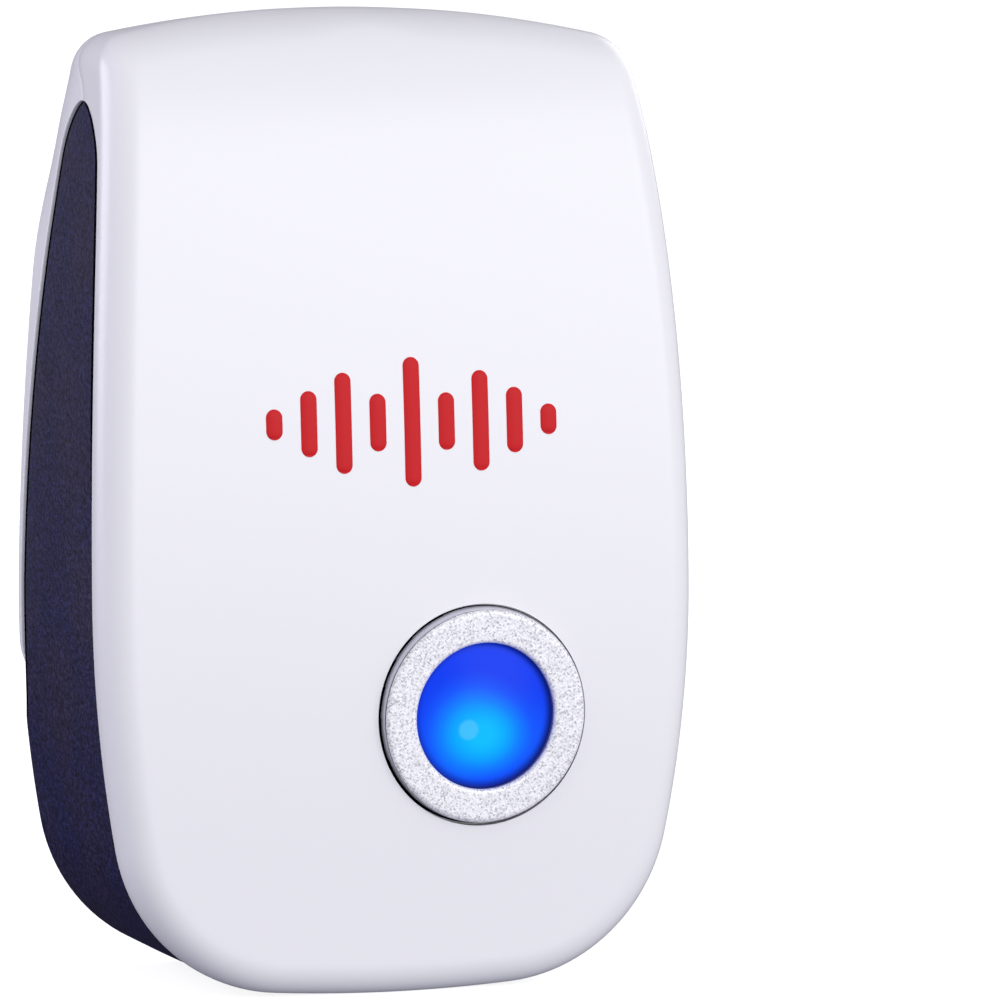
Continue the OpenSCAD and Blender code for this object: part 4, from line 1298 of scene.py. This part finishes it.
class REPELLER_OT_stage(bpy.types.Operator):
    """Makes the camera, the pale floor, the soft lights and the pale surroundings"""

    bl_idname = "repeller.stage"
    bl_label = "Stage"

    def execute(self, context):
        self.make_camera(context)
        self.make_floor(context)
        self.make_lights(context)
        self.make_world(context)
        context.scene.view_settings.view_transform = "Standard"
        return {"FINISHED"}

    def make_camera(self, context):
        """A camera at the given angles, turned a little off the object's middle."""
        s = settings_of(context).studio
        a, e = s.azimuth, s.elevation
        place = s.distance * Vector((-math.sin(a) * math.cos(e), -math.cos(a) * math.cos(e), math.sin(e)))
        ahead = -place.normalized()
        right = ahead.cross(Vector((0, 0, 1))).normalized()
        up = right.cross(ahead)
        ahead = (ahead + right * math.tan(s.pan) + up * math.tan(s.tilt)).normalized()
        right = ahead.cross(Vector((0, 0, 1))).normalized()
        up = right.cross(ahead)
        across = right * math.cos(s.roll) + up * math.sin(s.roll)
        over = up * math.cos(s.roll) - right * math.sin(s.roll)
        turn = Matrix((across, over, -ahead)).transposed().to_4x4()
        data = bpy.data.cameras.new("camera")
        data.lens, data.sensor_width = s.lens, 36.0
        data.clip_start, data.clip_end = 0.01, 50.0
        camera = bpy.data.objects.new("camera", data)
        camera.matrix_world = Matrix.Translation(place) @ turn
        context.collection.objects.link(camera)
        context.scene.camera = camera

    def make_floor(self, context):
        radius = settings_of(context).studio.floor_radius
        disc = bmesh.new()
        bmesh.ops.create_circle(disc, cap_ends=True, segments=96, radius=radius)
        bmesh.ops.translate(disc, verts=disc.verts, vec=(0, 0, CAD_BOX[0][2] - 0.05 * MM))
        floor = new_object(context, "floor", disc)
        # Matt white paper, lit from below as on a light table, so no hard shadow shows.
        paper = mottled(
            "matt_paper", linear("#C4C4C4"), linear("#C0C0C0"), 4.0, (0.85, 0.95), 0.02,
            **{"Emission Color": linear("#FFFFFF"), "Emission Strength": 0.85},
        )
        floor.data.materials.append(paper)
        # The lit paper is there to be seen; the studio round it lights the object.
        floor.visible_diffuse = floor.visible_glossy = False

    def make_lights(self, context):
        """Soft boxes: name, place, width, power and colour. Each is turned to the object."""
        boxes = [
            ("key_light", (0.54, -1.02, 0.42), 0.9, 6.9, "#FFFDF8"),
            ("left_light", (-1.02, 0.58, 0.36), 0.8, 8.6, "#F8F2FF"),
            ("rear_light", (1.2, 0.9, 0.6), 0.9, 6.0, "#FFFFFF"),
        ]
        for name, place, width, power, tint in boxes:
            data = bpy.data.lights.new(name, "AREA")
            data.shape, data.size, data.energy = "SQUARE", width, power
            data.color = linear(tint)[:3]
            light = bpy.data.objects.new(name, data)
            light.location = place
            light.rotation_mode = "QUATERNION"
            light.rotation_quaternion = (-Vector(place)).to_track_quat("-Z", "Y")
            context.collection.objects.link(light)

    def make_world(self, context):
        """Surroundings that are brightest in front of the object and dark behind it, and look white."""
        world = bpy.data.worlds.new("studio")
        world.use_nodes = True
        tree = world.node_tree
        tree.nodes.clear()
        way = put(tree, "ShaderNodeTexCoord").outputs["Generated"]
        parts = put(tree, "ShaderNodeSeparateXYZ", {"Vector": way}).outputs
        # From the front to the back, and from below to above.
        depths = ((0.0, "#E4E4EC"), (0.45, "#CACAD4"), (0.75, "#55545F"), (1.0, "#3A3942"))
        heights = ((0.0, "#9E9EAC"), (0.42, "#E0E0E8"), (0.5, "#FAFAFC"), (1.0, "#FFFFFF"))
        shades = []
        for axis, stops in (("Y", depths), ("Z", heights)):
            along = put(tree, "ShaderNodeMapRange", {"Value": parts[axis], "From Min": -1.0})
            ramp = [(place, linear(tint)) for place, tint in stops]
            shades.append(put(tree, "ShaderNodeValToRGB", {"Fac": along.outputs["Result"]}, stops=ramp))
        both = {"Factor": 1.0, "A": shades[0].outputs["Color"], "B": shades[1].outputs["Color"]}
        shade = put(
            tree, "ShaderNodeMix", both, data_type="RGBA", blend_type="MULTIPLY"
        ).outputs["Result"]
        lit = put(tree, "ShaderNodeBackground", {"Color": shade, "Strength": 1.07}).outputs["Background"]
        seen = put(
            tree, "ShaderNodeBackground", {"Color": linear("#FFFFFF"), "Strength": 1.1}
        ).outputs["Background"]
        by_camera = put(tree, "ShaderNodeLightPath").outputs["Is Camera Ray"]
        mixed = put(tree, "ShaderNodeMixShader", {0: by_camera, 1: lit, 2: seen}).outputs["Shader"]
        put(tree, "ShaderNodeOutputWorld", {"Surface": mixed})
        context.scene.world = world


OPERATORS = (
    REPELLER_OT_stage,
    REPELLER_OT_front_hood,
    REPELLER_OT_side_band,
    REPELLER_OT_rear_cover,
    REPELLER_OT_rear_screws,
    REPELLER_OT_lamp,
    REPELLER_OT_front_print,
    REPELLER_OT_plug_blades,
    REPELLER_OT_inner_finishes,
)


class REPELLER_PT_panel(bpy.types.Panel):
    """Lists the pieces of the repeller"""

    bl_idname = "REPELLER_PT_panel"
    bl_label = "Pest repeller"
    bl_space_type = "VIEW_3D"
    bl_region_type = "UI"
    bl_category = "Repeller"

    def draw(self, context):
        for operator in OPERATORS:
            self.layout.operator(operator.bl_idname)
        settings = settings_of(context)
        for group in settings.__annotations__:
            box = self.layout.box()
            box.label(text=group.capitalize())
            sizes = getattr(settings, group)
            for name in sizes.__annotations__:
                box.prop(sizes, name)


GROUPS = (CasingSizes, LampSizes, PrintSizes, SoundSizes, ScrewSizes, PlugSizes, Colours, StudioSizes)
CLASSES = GROUPS + (RepellerSettings,) + OPERATORS + (REPELLER_PT_panel,)


def register():
    for cls in CLASSES:
        bpy.utils.register_class(cls)
    bpy.types.Scene.repeller = bpy.props.PointerProperty(type=RepellerSettings)


def unregister():
    del bpy.types.Scene.repeller
    for cls in reversed(CLASSES):
        bpy.utils.unregister_class(cls)


def main():
    register()
    for operator in OPERATORS:
        group, name = operator.bl_idname.split(".")
        getattr(getattr(bpy.ops, group), name)()


if __name__ == "__main__":
    main()
